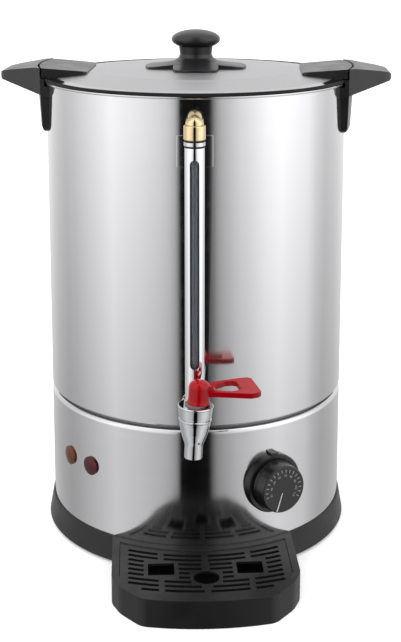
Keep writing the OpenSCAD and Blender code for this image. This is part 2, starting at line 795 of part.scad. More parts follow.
// The right handle; the left one is its mirror image
module handle() {
  bore_z = rim_z - rim_t - 2;
  difference() {
    union() {
      intersection() {
        translate([0, 0, gusset_z - 10]) grip_plan(grip_z - gusset_z + 20);
        grip_side(grip_w + 10);
      }
      leg();
    }
    translate([0, 0, leg_z - eps]) cylinder(r = body_r + fit, h = rim_z);
    translate([0, 0, bore_z]) cylinder(r = bulb_at + bulb_r + 0.5, h = 60);
    translate([0, 0, shelf_z]) cylinder(r = grip_gap_r, h = 60);
    for (z = handle_screw_zs) on_wall(90, z) translate([0, 0, -10])
      cylinder(d = m5[0] + 2 * fit, h = 10 + handle_bite + 0.4);
  }
}

module handle_right() {
  color([0.13, 0.13, 0.14]) rotate([0, 0, -handle_turn]) handle();
}

module handle_left() {
  color([0.13, 0.13, 0.14]) rotate([0, 0, -handle_turn]) mirror([1, 0, 0]) handle();
}

// Screws from inside the tank into the handles' legs
module handle_screws() {
  color("silver") for (az = handle_azs, z = handle_screw_zs) on_wall(az, z)
    translate([0, 0, -wall - handle_screw_sag])
      screw(m5, handle_screw_sag + wall + handle_bite);
}

// ---- lid ----

// The silicone seal on the rim: a flat lip with a bead that stands up round the lid's brim
module rim_seal() {
  color([0.08, 0.08, 0.08]) {
    tube(bulb_at, spigot_r + free, rim_z, seal_z);
    tube(bulb_at + 0.5, bulb_at - 0.5, rim_z, bulb_top_z - bulb_r);
    rotate_extrude() translate([bulb_at, bulb_top_z - bulb_r]) circle(r = bulb_r, $fn = 12);
  }
}

// Top line of the lid from the brim to the centre, raised by a gap
function lid_line(gap) = [
  [brim_r, lid_z + gap], [spigot_r + 0.6, lid_z + gap],
  [spigot_r - 3, lid_z + 0.6 + gap], [shoulder_r, lid_z + 1.5 + gap],
  [plateau_foot_r, lid_z + 1.5 + shoulder_rise + gap], [plateau_d / 2 - 2, lid_z + 6 + gap],
  [knob_span / 2, lid_c - 0.6 + gap], [0, lid_c + gap]];

// The spun lid: brim, sloping shoulder, plateau and a spigot inside the tank
module lid_pan() {
  t = lid_t;
  color("silver") difference() {
    union() {
      rotate_extrude() polygon(concat(lid_line(0), [
        [0, lid_c - t], [knob_span / 2, lid_c - 0.6 - t], [plateau_d / 2 - 2, lid_z + 6 - t],
        [plateau_foot_r, lid_z + 1.5 + shoulder_rise - t], [shoulder_r, lid_z + 1.5 - t],
        [spigot_r - 3, lid_z + 0.6 - t], [spigot_r - t, lid_z - t], [brim_r, lid_z - t]]));
      tube(spigot_r, spigot_r - t, seal_z - spigot_drop, lid_z - t / 2);
    }
    cylinder(d = m5[0] + 2 * fit, h = lid_c + 40);
    rotate([0, 0, -handle_turn]) lug_screw_places()
      cylinder(d = m4[0] + 2 * fit, h = lid_c + 40);
  }
}

module lug_screw_places() {
  for (sx = [-1, 1], sy = [-1, 1])
    translate([sx * lug_screw_x, sy * lug_screw_y, 0]) children();
}

// Everything below the lid's top face, used to seat what stands on it
module lid_below() {
  rotate_extrude() polygon(concat(
    [[0, 0], [brim_r + 12, 0], [brim_r + 12, lug_foot_z], [brim_r, lug_foot_z]],
    lid_line(fit)));
}

// The right lug: it ends at the gap to the handle and its top falls inwards
module lug() {
  w = grip_w / 2;
  difference() {
    intersection() {
      cylinder(r = lug_gap_r, h = grip_z + 20);
      linear_extrude(grip_z + 20) polygon(concat(
        [[lug_gap_r + 5, -w], [lug_gap_r + 5, w]],
        arc([lug_inner + 5.5, w - 8], 5, 90, 180, 5), [[lug_inner, 0]],
        arc([lug_inner + 5.5, 8 - w], 5, 180, 270, 5)));
      rotate([90, 0, 0]) linear_extrude(grip_w + 10, center = true) polygon([
        [lug_inner - 5, rim_z], [lug_gap_r + 2, rim_z], [lug_gap_r + 2, grip_z],
        [lug_gap_r - 3, grip_z], [lug_inner + 3, grip_z - lug_fall],
        [lug_inner - 5, grip_z - lug_fall - 2.5]]);
    }
    lid_below();
    lug_screw_places() cylinder(d = m4[0] + 2 * fit, h = lug_seat_z + lug_bite + 0.4);
  }
}

module lid_lug_right() {
  color([0.13, 0.13, 0.14]) rotate([0, 0, -handle_turn]) lug();
}

module lid_lug_left() {
  color([0.13, 0.13, 0.14]) rotate([0, 0, -handle_turn]) mirror([1, 0, 0]) lug();
}

// Screws from below the lid into the lugs
module lug_screws() {
  sag = 0.5;   // how far the head stands off the sloping shoulder
  color("silver") rotate([0, 0, -handle_turn]) lug_screw_places()
    translate([0, 0, lug_seat_z - lid_t - sag]) screw(m4, sag + lid_t + lug_bite);
}

// Side of the knob as a revolved outline: head, neck and flared foot
function knob_line() = let (z = lid_c, n = knob_neck_d / 2, h = knob_head_d / 2, b = 9.4) concat(
  [[0, z - 4], [knob_span / 2, z - 4], [knob_span / 2, z + 1.6], [knob_span / 3, z + 3.6],
   [n + 6, z + 6], [n + 1.4, z + 9.4], [n, z + 12.6], [n + 0.2, z + 14.6]],
  [for (t = [-46:8:82]) [h * cos(t), z + knob_h - b + b * sin(t)]],
  [[0, z + knob_h]]);

// The knob: its foot is cut to four rounded lobes and sits on the lid
module lid_knob() {
  s = knob_span / 2;
  color([0.13, 0.13, 0.14]) difference() {
    intersection() {
      rotate_extrude() polygon(knob_line());
      union() {
        for (a = [0, 90]) rotate([0, 0, a]) {
          translate([-s + 14, -lobe_w / 2, 0]) cube([2 * s - 28, lobe_w, 600]);
          for (k = [-1, 1]) translate([k * (s - 14), 0, 0]) intersection() {
            cylinder(r = lobe_w / 2, h = 600);
            translate([-20, -lobe_w / 2, 0]) cube([34 + 6, lobe_w, 600]);
          }
        }
        cylinder(r = knob_head_d / 2 + 2, h = 600);
      }
    }
    rotate_extrude() polygon(concat([[0, 0], [brim_r, 0]], lid_line(fit)));
    cylinder(d = m5[0] + 2 * fit, h = lid_c + 16);
  }
}

// The knob's screw with a washer, below the lid
module knob_screw() {
  color("silver") translate([0, 0, lid_c - lid_t]) {
    translate([0, 0, -1.2]) cylinder(d = 16, h = 1.1);
    translate([0, 0, -1.2]) screw(m5, 16);
  }
}

// ---- tap ----

module at_tap() {
  translate([0, -tap_r, shank_z]) rotate([0, tap_lean, 0]) translate([0, 0, -shank_z])
    children();
}

// Outer line of the tap below the bonnet, from the spout upwards
function tap_line() = let (s = spout_d / 2) [
  [s - 0.4, spout_z], [s, spout_z + 0.6], [s, spout_z + 12], [s + 0.5, spout_z + 14],
  [s + 2, spout_z + 18], [s + 3.8, spout_z + 23.4], [s + 5, spout_z + 28.6],
  [s + 5.8, body_top_z - 5], [s + 6, body_top_z - 2.2], [s + 6.5, body_top_z - 1.6],
  [s + 6.5, body_top_z - 0.4], [s + 6, body_top_z], [neck_r, body_top_z],
  [neck_r, neck_z], [0, neck_z], [0, spout_z]];

// The tap's body: chamber, spout, threaded shank, flange and gauge boss
module tap_body() {
  shank_end = inner_r - shank_in;
  color([0.8, 0.8, 0.82]) difference() {
    union() {
      at_tap() rotate_extrude() polygon(tap_line());
      translate([0, -tap_r, shank_z]) rotate([-90, 0, 0])
        cylinder(d = shank_d, h = tap_r - shank_end);
      translate([0, -flange_at - flange_t, shank_z]) rotate([-90, 0, 0])
        cylinder(r = flange_r, h = flange_t);
      translate([0, -gauge_r, shank_z]) cylinder(r = boss_r, h = boss_z - shank_z);
    }
    at_tap() {
      translate([0, 0, seat_z]) cylinder(r = chamber_r, h = 60);
      cylinder(d = tap_bore, h = seat_z + eps);
    }
    translate([0, -tap_r, shank_z]) rotate([-90, 0, 0]) cylinder(d = tap_bore, h = tap_r);
    translate([0, -gauge_r, 0]) {
      translate([0, 0, shank_z]) cylinder(d = 6, h = 60);
      translate([0, 0, glass_low_z]) cylinder(d = glass_d + 2.6, h = 60);
    }
  }
}

// The bonnet screws over the body's neck and guides the stem
module tap_bonnet() {
  top_r = bonnet_d / 2;
  low_r = spout_d / 2 + 6;
  color([0.85, 0.85, 0.87]) at_tap() rotate_extrude() polygon([
    [neck_r + fit, body_top_z + fit], [low_r, body_top_z + fit],
    [low_r + 0.6, body_top_z + 3], [top_r - 0.5, bonnet_z - 1.6], [top_r, bonnet_z - 1.2],
    [top_r, bonnet_z - 0.5], [top_r - 0.6, bonnet_z], [stem_d / 2 + run, bonnet_z],
    [stem_d / 2 + run, spring_top_z], [chamber_r, spring_top_z], [chamber_r, neck_z + fit],
    [neck_r + fit, neck_z + fit]]);
}

// Sealing washers on both sides of the tank's wall
module shank_washers() {
  color([0.75, 0.3, 0.2]) {
    difference() {
      translate([0, -flange_at, shank_z]) rotate([-90, 0, 0]) cylinder(r = flange_r, h = 8);
      translate([0, 0, shank_z - 30]) cylinder(r = body_r + 0.02, h = 60);
      shank_cut();
    }
    difference() {
      intersection() {
        translate([0, -body_r, shank_z]) rotate([-90, 0, 0])
          cylinder(r = flange_r, h = wall + 3.2);
        translate([0, 0, shank_z - 30]) cylinder(r = inner_r - 0.02, h = 60);
      }
      shank_cut();
    }
  }
}

module shank_cut() {
  translate([0, -tap_r, shank_z]) rotate([-90, 0, 0])
    cylinder(d = shank_d + 2 * fit, h = tap_r);
}

module shank_nut() {
  color([0.8, 0.8, 0.82]) translate([0, -body_r + wall + 3.2 + fit, shank_z])
    rotate([-90, 0, 0]) difference() {
      cylinder(d = shank_nut_af / cos(30), h = nut_inner_t, $fn = 6);
      translate([0, 0, -eps]) cylinder(d = shank_d + 2 * fit, h = nut_inner_t + 2 * eps);
    }
}

// The valve stem with the collar that carries the spring
module tap_stem() {
  color([0.8, 0.8, 0.82]) at_tap() difference() {
    union() {
      translate([0, 0, seat_z + 3]) cylinder(d = stem_d, h = stem_top_z - seat_z - 3);
      translate([0, 0, collar_z]) cylinder(r = chamber_r - 1, h = collar_t);
    }
    translate([0, 0, pin_z]) rotate([0, 0, lever_turn]) rotate([90, 0, 0])
      cylinder(d = pin_d + 2 * fit, h = 20, center = true);
  }
}

// The silicone cup that closes the outlet, pushed over the stem's end
module seat_cup() {
  color([0.92, 0.92, 0.9]) at_tap() translate([0, 0, seat_z]) difference() {
    cylinder(r = chamber_r - 1.6, h = collar_z - seat_z - fit);
    translate([0, 0, 3 - fit]) cylinder(d = stem_d + 2 * fit, h = 20);
  }
}

// The closing spring between the stem's collar and the bonnet
module tap_spring() {
  r = spring_wire / 2;
  low = spring_low_z + r + 0.05;
  high = spring_top_z - r - 0.05;
  steps = spring_turns * 16;
  color("silver") at_tap() rod([for (i = [0 : steps]) let (a = 360 * spring_turns * i / steps)
    [spring_r * cos(a), spring_r * sin(a), low + (high - low) * i / steps]], spring_wire, 6);
}

module wear_washer() {
  color([0.93, 0.93, 0.9]) at_tap() tube(hub_d / 2 - 0.6, stem_d / 2 + run, bonnet_z, wear_z);
}

module lever_pin() {
  color("silver") at_tap() translate([0, 0, pin_z]) rotate([0, 0, lever_turn])
    rotate([90, 0, 0]) cylinder(d = pin_d, h = pin_len, center = true);
}

// Half width of the arm's outer side, which flares evenly over its length
function flare(x) = 6.4 + (x - 17) * (loop_w / 2 - 6.4) / (lever_reach - 27);

// Plan of the lever's arm: a teardrop from the hub to a blunt end
module arm_plan(inset, from, to) {
  w = loop_w / 2 - inset;
  v = flare(to - 10) - inset;
  polygon([[from, -4.6 + inset], [from + 8, inset - flare(from + 8)], [to - 10, -v],
    [to - 3, -v + 0.6], [to, -v + 3], [to, w - 3], [to - 3, w - 0.6], [to - 10, w],
    [from + 12, w - 1.4], [from + 5, w * 0.72], [from, 4.6 - inset]]);
}

// The lever: a domed hub around the stem and a loop to press down
module tap_lever() {
  r = hub_d / 2;
  slot_r = stem_d / 2 + 0.3;
  reach = (pin_z - wear_z) * tan(tilt_max) + 0.4;
  color([0.78, 0.02, 0.06]) at_tap() rotate([0, 0, lever_turn]) difference() {
    union() {
      translate([hub_off, 0, 0]) rotate_extrude() polygon(concat(
        [[0, wear_z], [r - 0.2, wear_z], [r, wear_z + 0.6], [r - 0.9, wear_z + 4.4],
         [r - 0.9, wear_z + 13]],
        arc([r - 6.9, wear_z + 14.4], 6, 0, 60, 6),
        [[r * 0.3, hub_top_z - 0.4], [0, hub_top_z]]));
      translate([0, 0, loop_z]) rotate([loop_roll, -lever_rise, 0]) linear_extrude(loop_t)
        difference() {
          arm_plan(0, 9, lever_reach);
          arm_plan(loop_bar, 16, lever_reach - 15);
        }
      rotate([90, 0, 0]) linear_extrude(8, center = true) polygon([
        [4, loop_z + 1], [14, loop_z + 1], [17, loop_z + loop_t - 0.6],
        [13, loop_z + loop_t + 4], [4, loop_z + loop_t + 8]]);
    }
    translate([0, 0, wear_z - eps]) cylinder(r = slot_r, h = stem_top_z + 1.6 - wear_z + eps);
    rotate([90, 0, 0]) linear_extrude(2 * slot_r, center = true) polygon([
      [0, wear_z - eps], [slot_r + reach + 0.4, wear_z - eps], [slot_r + 0.2, pin_z],
      [slot_r, stem_top_z + 1.6], [-slot_r - 1.4, stem_top_z + 1.6], [-slot_r, pin_z],
      [-slot_r, wear_z - eps]]);
    translate([0, 0, pin_z]) rotate([90, 0, 0])
      cylinder(d = pin_d + 2 * run, h = pin_len + 1, center = true);
  }
}

// ---- sight gauge ----

module at_gauge() {
  translate([0, -gauge_r, 0]) children();
}

module gauge_glass() {
  color([0.8, 0.85, 0.88]) at_gauge()
    tube(glass_d / 2, glass_d / 2 - 1.4, glass_low_z + 1, glass_top_z);
}

// The chromed guard tube with a sight slot at its front and its back
module gauge_guard() {
  r = guard_d / 2;
  color([0.85, 0.85, 0.87]) at_gauge() difference() {
    tube(r, r - guard_t, boss_z, guard_top_z);
    guard_slot();
  }
}

module guard_slot() {
  translate([-slot_w / 2, -20, slot_low_z + slot_w / 2])
    cube([slot_w, 40, slot_top_z - slot_low_z - slot_w]);
  for (z = [slot_low_z + slot_w / 2, slot_top_z - slot_w / 2])
    translate([0, 0, z]) rotate([90, 0, 0]) cylinder(d = slot_w, h = 40, center = true);
}

// Silicone seals: one in the boss and one above and below the bracket's eye
module gauge_seals() {
  g = glass_d / 2 + fit;
  color([0.1, 0.1, 0.1]) at_gauge() {
    tube(g + 1.1, g, glass_low_z, boss_z - fit);
    tube(nut_d / 2 - 0.5, g, guard_top_z, guard_top_z + washer_t);
    tube(nut_d / 2 - 0.5, g, nut_z - washer_t, nut_z);
  }
}

// The round brass gland nut, turned, with bevelled edges
module gauge_nut() {
  r = nut_d / 2;
  bore = glass_d / 2 + fit;
  color([0.85, 0.68, 0.38]) at_gauge() rotate_extrude() polygon([
    [bore, nut_z], [r - 0.6, nut_z], [r, nut_z + 0.6], [r, cap_z - 0.8], [r - 0.8, cap_z],
    [bore, cap_z]]);
}

// The domed brass vent cap on the nut, with a small hole for air
module gauge_cap() {
  r = nut_d / 2 - 1.7;
  vent = 1.2;
  rim = 1.2;
  color([0.8, 0.64, 0.36]) at_gauge() rotate_extrude() polygon(concat(
    [[vent, cap_z], [r, cap_z]],
    [for (t = [0:15:75]) [r * cos(t), cap_z + rim + (cap_h - rim) * sin(t)]],
    [[vent, cap_z + cap_h - 0.5]]));
}

// The bracket: a plate welded to the wall and an arm with an eye
module gauge_bracket() {
  eye_z = guard_top_z + washer_t;
  color([0.75, 0.75, 0.77]) difference() {
    union() {
      intersection() {
        tube(body_r + fit + 2, body_r + fit, bracket_z, bracket_z + bracket_h);
        translate([-bracket_w / 2, -body_r - 20, bracket_z])
          cube([bracket_w, 30, bracket_h]);
      }
      translate([-5, -gauge_r, eye_z]) cube([10, gauge_off - fit - 1, eye_t]);
      translate([0, -gauge_r, eye_z]) cylinder(d = nut_d - 0.4, h = eye_t);
    }
    at_gauge() cylinder(d = glass_d + 2 * fit, h = 600);
  }
}

// ---- drip tray ----

// The tray's plan as a prism, all its edges moved in by an inset
module tray_prism(inset, z0, z1) {
  h = z1 - z0;
  w = tray_w - 2 * inset;
  difference() {
    intersection() {
      translate([0, 0, z0]) cylinder(r = tray_front - inset, h = h, $fn = 180);
      translate([-w / 2, -tray_front, z0]) cube([w, tray_front - 80, h]);
    }
    for (c = corner_cuts, side = [-c[0], c[0] - 180]) rotate([0, 0, side])
      translate([cos(c[0]) * tray_w / 2 + sin(c[0]) * tray_front - c[1] - inset, -200, z0 - eps])
        cube([200, 400, h + 2 * eps]);
    rotate_extrude($fn = 180) polygon(concat(
      [[0, ring_bottom_z - 3]], [[ring_foot_r + free + inset, ring_bottom_z - 3]],
      ring_line(free + inset),
      [[ring_top_r + free + inset - 0.6, tray_h + 5], [0, tray_h + 5]]));
  }
}

module drip_tray() {
  color([0.13, 0.13, 0.14]) rotate([0, 0, tray_turn]) difference() {
    tray_prism(0, 0, tray_h);
    tray_prism(tray_wall, tray_floor, rim_low_z);
    tray_prism(tray_rim + ledge_w, rim_low_z - eps, tray_h + eps);
    tray_prism(tray_rim, grille_z, tray_h + eps);
  }
}

// A drain slot along an arc round the tank's axis
module arc_slot(r, a0, a1) {
  rotate([0, 0, -90 + a0]) rotate_extrude(angle = a1 - a0, $fn = 180)
    translate([r - drain_w / 2, grille_z - eps]) square([drain_w, grille_t + 2 * eps]);
}

// Angle, seen from the tank's axis, of a point x to the side at radius r
function at_x(r, x) = asin(x / r);

// One row of slots: pairs of [from, to] in x, on both sides of the middle
module slot_row(r, spans) {
  for (p = spans) {
    arc_slot(r, at_x(r, p[0]), at_x(r, p[1]));
    arc_slot(r, at_x(r, -p[1]), at_x(r, -p[0]));
  }
}

// The lift-out grille: rows of arc slots, a cup hole and two finger windows
module drip_grille() {
  edge = tray_w / 2 - tray_rim - 8;
  bar = 2.6;
  beside = window[0] / 2 + 3.8;
  outer = [window_x + bar, edge];
  inner = window_x - bar;
  color([0.14, 0.14, 0.15]) rotate([0, 0, tray_turn]) difference() {
    tray_prism(tray_rim + seat, grille_z, grille_z + grille_t);
    for (i = [0, 1]) slot_row(first_row + i * slot_pitch, [[3, inner], outer]);
    for (i = [2, 3]) slot_row(first_row + i * slot_pitch,
      [[3.6, window_x - beside], [window_x + beside, edge]]);
    for (i = [4, 5]) slot_row(first_row + i * slot_pitch,
      [[cup_hole_d / 2 + 2.8, window_x - beside], [window_x + beside, edge]]);
    slot_row(first_row + 6 * slot_pitch, [[cup_hole_d / 2 + 2.2, inner], outer]);
    slot_row(first_row + 7 * slot_pitch, [[5, inner], outer]);
    slot_row(first_row + 8 * slot_pitch, [[bar, inner], [window_x + bar, edge - 11.5]]);
    translate([0, -hole_at, 0]) cylinder(d = cup_hole_d, h = 2 * tray_h);
    for (s = [-1, 1]) translate([s * window_x, -window_at, tray_h])
      cube([window[0], window[1], 2 * tray_h], center = true);
  }
}

tank_shell();
tank_bottom();
skirt();
base_ring();
bottom_plate();
base_screws();
feet();
heat_spreader();
heating_element();
thermostat_body();
thermostat_probe();
thermostat_bezel();
thermostat_screws();
thermostat_knob();
cutout_body();
cutout_probe();
reset_button();
amber_lens();
red_lens();
lamp_bodies();
lamp_nuts();
inlet_socket();
inlet_pins();
inlet_screws();
terminal_block();
wiring();
handle_left();
handle_right();
handle_screws();
rim_seal();
lid_pan();
lid_lug_left();
lid_lug_right();
lug_screws();
lid_knob();
knob_screw();
tap_body();
tap_bonnet();
shank_washers();
shank_nut();
tap_stem();
seat_cup();
tap_spring();
wear_washer();
lever_pin();
tap_lever();
gauge_glass();
gauge_guard();
gauge_seals();
gauge_nut();
gauge_cap();
gauge_bracket();
drip_tray();
drip_grille();
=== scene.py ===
# %% [markdown]
# # A hot water urn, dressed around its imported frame
#
# A catering urn is a rolled stainless tank on a heated base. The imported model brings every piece
# at its real size and place, so this file only gives finishes, softens moulded edges, prints the
# dial and lights the set. Lengths are metres unless a name says otherwise.

# %% Load the frame
import json
import math

import bmesh
import bpy
from mathutils import Matrix, Vector


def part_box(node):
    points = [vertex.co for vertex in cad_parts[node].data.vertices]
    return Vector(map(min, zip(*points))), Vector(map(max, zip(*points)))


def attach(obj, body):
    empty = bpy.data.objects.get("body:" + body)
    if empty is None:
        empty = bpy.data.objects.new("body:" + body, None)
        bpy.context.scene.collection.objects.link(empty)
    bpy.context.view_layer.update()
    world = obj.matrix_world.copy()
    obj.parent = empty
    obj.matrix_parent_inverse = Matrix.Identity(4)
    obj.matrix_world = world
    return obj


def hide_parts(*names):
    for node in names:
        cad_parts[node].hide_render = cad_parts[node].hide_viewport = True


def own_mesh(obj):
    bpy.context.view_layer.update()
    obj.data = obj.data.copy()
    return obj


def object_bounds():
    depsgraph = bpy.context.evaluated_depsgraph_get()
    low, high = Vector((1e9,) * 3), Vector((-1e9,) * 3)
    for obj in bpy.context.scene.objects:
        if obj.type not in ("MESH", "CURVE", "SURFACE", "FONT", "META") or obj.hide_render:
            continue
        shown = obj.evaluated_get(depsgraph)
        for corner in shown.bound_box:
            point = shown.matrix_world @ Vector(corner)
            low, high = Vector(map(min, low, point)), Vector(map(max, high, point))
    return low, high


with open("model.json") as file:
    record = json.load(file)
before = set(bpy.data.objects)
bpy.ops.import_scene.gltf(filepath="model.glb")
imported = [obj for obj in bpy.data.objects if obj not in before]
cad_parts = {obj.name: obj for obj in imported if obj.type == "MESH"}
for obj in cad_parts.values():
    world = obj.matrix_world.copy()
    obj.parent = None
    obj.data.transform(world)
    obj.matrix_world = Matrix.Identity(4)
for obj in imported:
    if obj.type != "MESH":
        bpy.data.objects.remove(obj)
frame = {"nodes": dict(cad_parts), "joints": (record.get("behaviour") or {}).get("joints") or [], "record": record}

cad_low, cad_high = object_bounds()
NODES = frame["nodes"]
RECORD = frame["record"]
JOINTS = {joint["name"]: joint for joint in frame["joints"]}
MM = 0.001
print("CAD box", [round(v, 4) for v in (*cad_low, *cad_high)])

# %% [markdown]
# ## Colours and nodes
#
# Colours are picked on a screen as sRGB hex, while the renderer counts light linearly, so one
# function turns one into the other. A second one adds a node, sets it and wires it in one line.
# Nodes could be added and linked one call at a time, but then the recipe drowns in wiring.

# %% Helpers for colours and nodes
def colour(code):
    """Linear RGBA of an sRGB hex colour such as #c8c8ca."""
    parts = [int(code[i:i + 2], 16) / 255 for i in (1, 3, 5)]
    linear = [p / 12.92 if p <= 0.04045 else ((p + 0.055) / 1.055) ** 2.4 for p in parts]
    return (*linear, 1.0)


def add(tree, kind, inputs=None, **settings):
    """Adds a node. Settings are its properties, inputs are values or the sockets to link."""
    node = tree.nodes.new(kind)
    for name, value in settings.items():
        setattr(node, name, value)
    for name, value in (inputs or {}).items():
        socket = node.inputs[name]
        if isinstance(value, bpy.types.NodeSocket):
            tree.links.new(value, socket)
        else:
            socket.default_value = value
    return node


print("the middle grey #808080 is", round(colour("#808080")[0], 3), "in linear light")

# %% [markdown]
# ## The steps of a finish
#
# Every finish below is made in the same few steps. It starts from one shader. Noise with spots of
# a real size swings the roughness, as wear does, and raises a relief of a real depth. A mask gives
# a place that is treated apart its own roughness. Pictures of scratched metal could be wrapped
# round each piece instead, but noise fills space, so it needs no wrapping, and in the object's own
# space it stays on the piece when that moves.

# %% Helpers for a finish
NOISE_SPAN = {"From Min": 0.3, "From Max": 0.7}     # where most of the noise's values lie
MIXED_COLOUR = 2                                    # the outlet of a Mix node that is a colour
FINISHES = {}


def new_finish(name, **values):
    """A material with one Principled shader whose even values sit on its own sockets."""
    material = bpy.data.materials.new(name)
    material.use_nodes = True
    tree = material.node_tree
    tree.nodes.clear()
    shader = add(tree, "ShaderNodeBsdfPrincipled")
    for key, value in values.items():
        shader.inputs[key.replace("_", " ")].default_value = value
    add(tree, "ShaderNodeOutputMaterial", {"Surface": shader.outputs["BSDF"]})
    return material, tree, shader


def grain(tree, spot_mm, detail=2.0):
    """Noise whose spots measure spot_mm along X, Y and Z in the object's own space."""
    place = add(tree, "ShaderNodeTexCoord").outputs["Object"]
    scaled = add(tree, "ShaderNodeMapping", {"Vector": place,
                 "Scale": [1 / (mm * MM) for mm in spot_mm]})
    return add(tree, "ShaderNodeTexNoise", {"Vector": scaled.outputs["Vector"], "Scale": 1.0,
               "Detail": detail, "Roughness": 0.5}).outputs["Fac"]


def wear(tree, shader, noise, low, high):
    """Lets the roughness swing between low and high with the noise."""
    swing = add(tree, "ShaderNodeMapRange", {"Value": noise, **NOISE_SPAN, "To Min": low,
                "To Max": high})
    tree.links.new(swing.outputs["Result"], shader.inputs["Roughness"])


def emboss(tree, shader, noise, depth_mm):
    """Raises the noise as relief of a real depth, on top of the relief that is there."""
    raised = add(tree, "ShaderNodeBump", {"Height": noise, "Distance": depth_mm * MM})
    for link in shader.inputs["Normal"].links:
        tree.links.new(link.from_socket, raised.inputs["Normal"])
    tree.links.new(raised.outputs["Normal"], shader.inputs["Normal"])


def treat_apart(tree, shader, mask, rough):
    """Gives the surface another roughness where the mask is 1."""
    worn = shader.inputs["Roughness"].links[0].from_socket
    mixed = add(tree, "ShaderNodeMix", {"Factor": mask, "A": worn, "B": rough})
    tree.links.new(mixed.outputs[0], shader.inputs["Roughness"])


# %% [markdown]
# ## Bright annealed stainless sheet
#
# The tank and its skirt are cold rolled sheet, annealed bright, rolled to a drum and then brushed
# lightly round it. Fine scratches that run round a drum smear a reflection up and down but leave
# it crisp from side to side, and that is why upright things stay sharp in it. A high roughness
# would blur both ways. An anisotropic shader does as the brush did: its tangent runs round the Z
# axis, and a quarter turn puts the blur across the scratches.

# %% Stainless sheet for the body
SHEET_COLOUR = "#d2d1d3"
HAZE_MM = (40, 40, 9)         # the clouds that the brush leaves
WAVES_MM = (70, 70, 160)      # the slight wave of rolled thin sheet
SCRATCHES_MM = (30, 30, 0.7)  # real ones are far finer: drawn coarse enough to show


def stainless_sheet(name):
    material, tree, shader = new_finish(name, Metallic=1.0, Base_Color=colour(SHEET_COLOUR),
                                        Anisotropic=0.8, Anisotropic_Rotation=0.25)
    round_z = add(tree, "ShaderNodeTangent", direction_type="RADIAL", axis="Z")
    tree.links.new(round_z.outputs["Tangent"], shader.inputs["Tangent"])
    wear(tree, shader, grain(tree, HAZE_MM), 0.08, 0.12)
    emboss(tree, shader, grain(tree, WAVES_MM, detail=0.0), 0.03)
    emboss(tree, shader, grain(tree, SCRATCHES_MM, detail=3.0), 0.001)
    return material, tree, shader


FINISHES["stainless"] = stainless_sheet("stainless_bright_annealed")[0]
print("scratches are drawn", SCRATCHES_MM[2], "mm apart")

# %% [markdown]
# Two places of the tank are treated apart. The joggle below its curled edge isn't brushed and
# stays dull, and its colour is darkened there as painted shade, so it shows as a dark groove over
# the skirt's bead. The inside is left matt from the mill. Two more materials could do that, but
# the tank is one piece of sheet, so masks are laid over its one finish: the first by height, the
# second by whether a face looks back at the tank's axis.

# %% Painted groove shade and matt inside of the tank
SEAM_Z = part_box("skirt")[1].z          # the top of the skirt's bead
GROOVE_H = 3 * MM                      # the dark groove from there to the tank's curled edge
# painted shade: the sheet is darkened to this colour in the groove, where shade falls
GROOVE_SHADE_COLOUR = "#6a6a6d"
GROOVE_SHADE_FADE = (0.5 * MM, -0.4 * MM)     # none just over the groove's top, full just below it
GROOVE_ROUGH = 0.3
INSIDE_FADE = (-20 * MM, -60 * MM)     # normal times place: below zero where a face looks in
INSIDE_ROUGH = 0.45


def tank_sheet():
    material, tree, shader = stainless_sheet("stainless_bright_annealed_tank")
    place = add(tree, "ShaderNodeTexCoord").outputs["Object"]
    height = add(tree, "ShaderNodeSeparateXYZ", {"Vector": place}).outputs["Z"]
    groove_shade = add(tree, "ShaderNodeMapRange", {"Value": height,
                  "From Min": SEAM_Z + GROOVE_H + GROOVE_SHADE_FADE[0],
                  "From Max": SEAM_Z + GROOVE_H + GROOVE_SHADE_FADE[1]}).outputs["Result"]
    # painted shade: below the groove's top the sheet's colour darkens to the groove colour
    tint = add(tree, "ShaderNodeMix", {"Factor": groove_shade, "A": colour(SHEET_COLOUR),
               "B": colour(GROOVE_SHADE_COLOUR)}, data_type="RGBA")
    tree.links.new(tint.outputs[MIXED_COLOUR], shader.inputs["Base Color"])
    treat_apart(tree, shader, groove_shade, GROOVE_ROUGH)
    normal = add(tree, "ShaderNodeNewGeometry").outputs["Normal"]
    outward = add(tree, "ShaderNodeVectorMath", {0: normal, 1: place}, operation="DOT_PRODUCT")
    inside = add(tree, "ShaderNodeMapRange", {"Value": outward.outputs["Value"],
                 "From Min": INSIDE_FADE[0], "From Max": INSIDE_FADE[1]}).outputs["Result"]
    treat_apart(tree, shader, inside, INSIDE_ROUGH)
    return material


FINISHES["tank"] = tank_sheet()
print("the groove ends", round(SEAM_Z + GROOVE_H, 4), "m above the table")

# %% [markdown]
# ## Satin lid
#
# The lid is spun from the same sheet and then rubbed to a satin with a fine pad, so it shows the
# room only as a soft tone. The brim was pressed against the spinning tool and stays bright. A
# lathe leaves its marks in rings. Noise in space would give blotches, but noise along one line,
# read at the distance from the lid's axis, gives rings, and the same distance masks the brim.

# %% Satin stainless for the lid
BRIM_WIDTH = 9 * MM
BRIM_FADE = 1 * MM           # to either side of the brim's inner edge
BRIM_ROUGH = 0.08
RINGS_MM = 0.9               # real rings are finer: drawn coarse enough to show


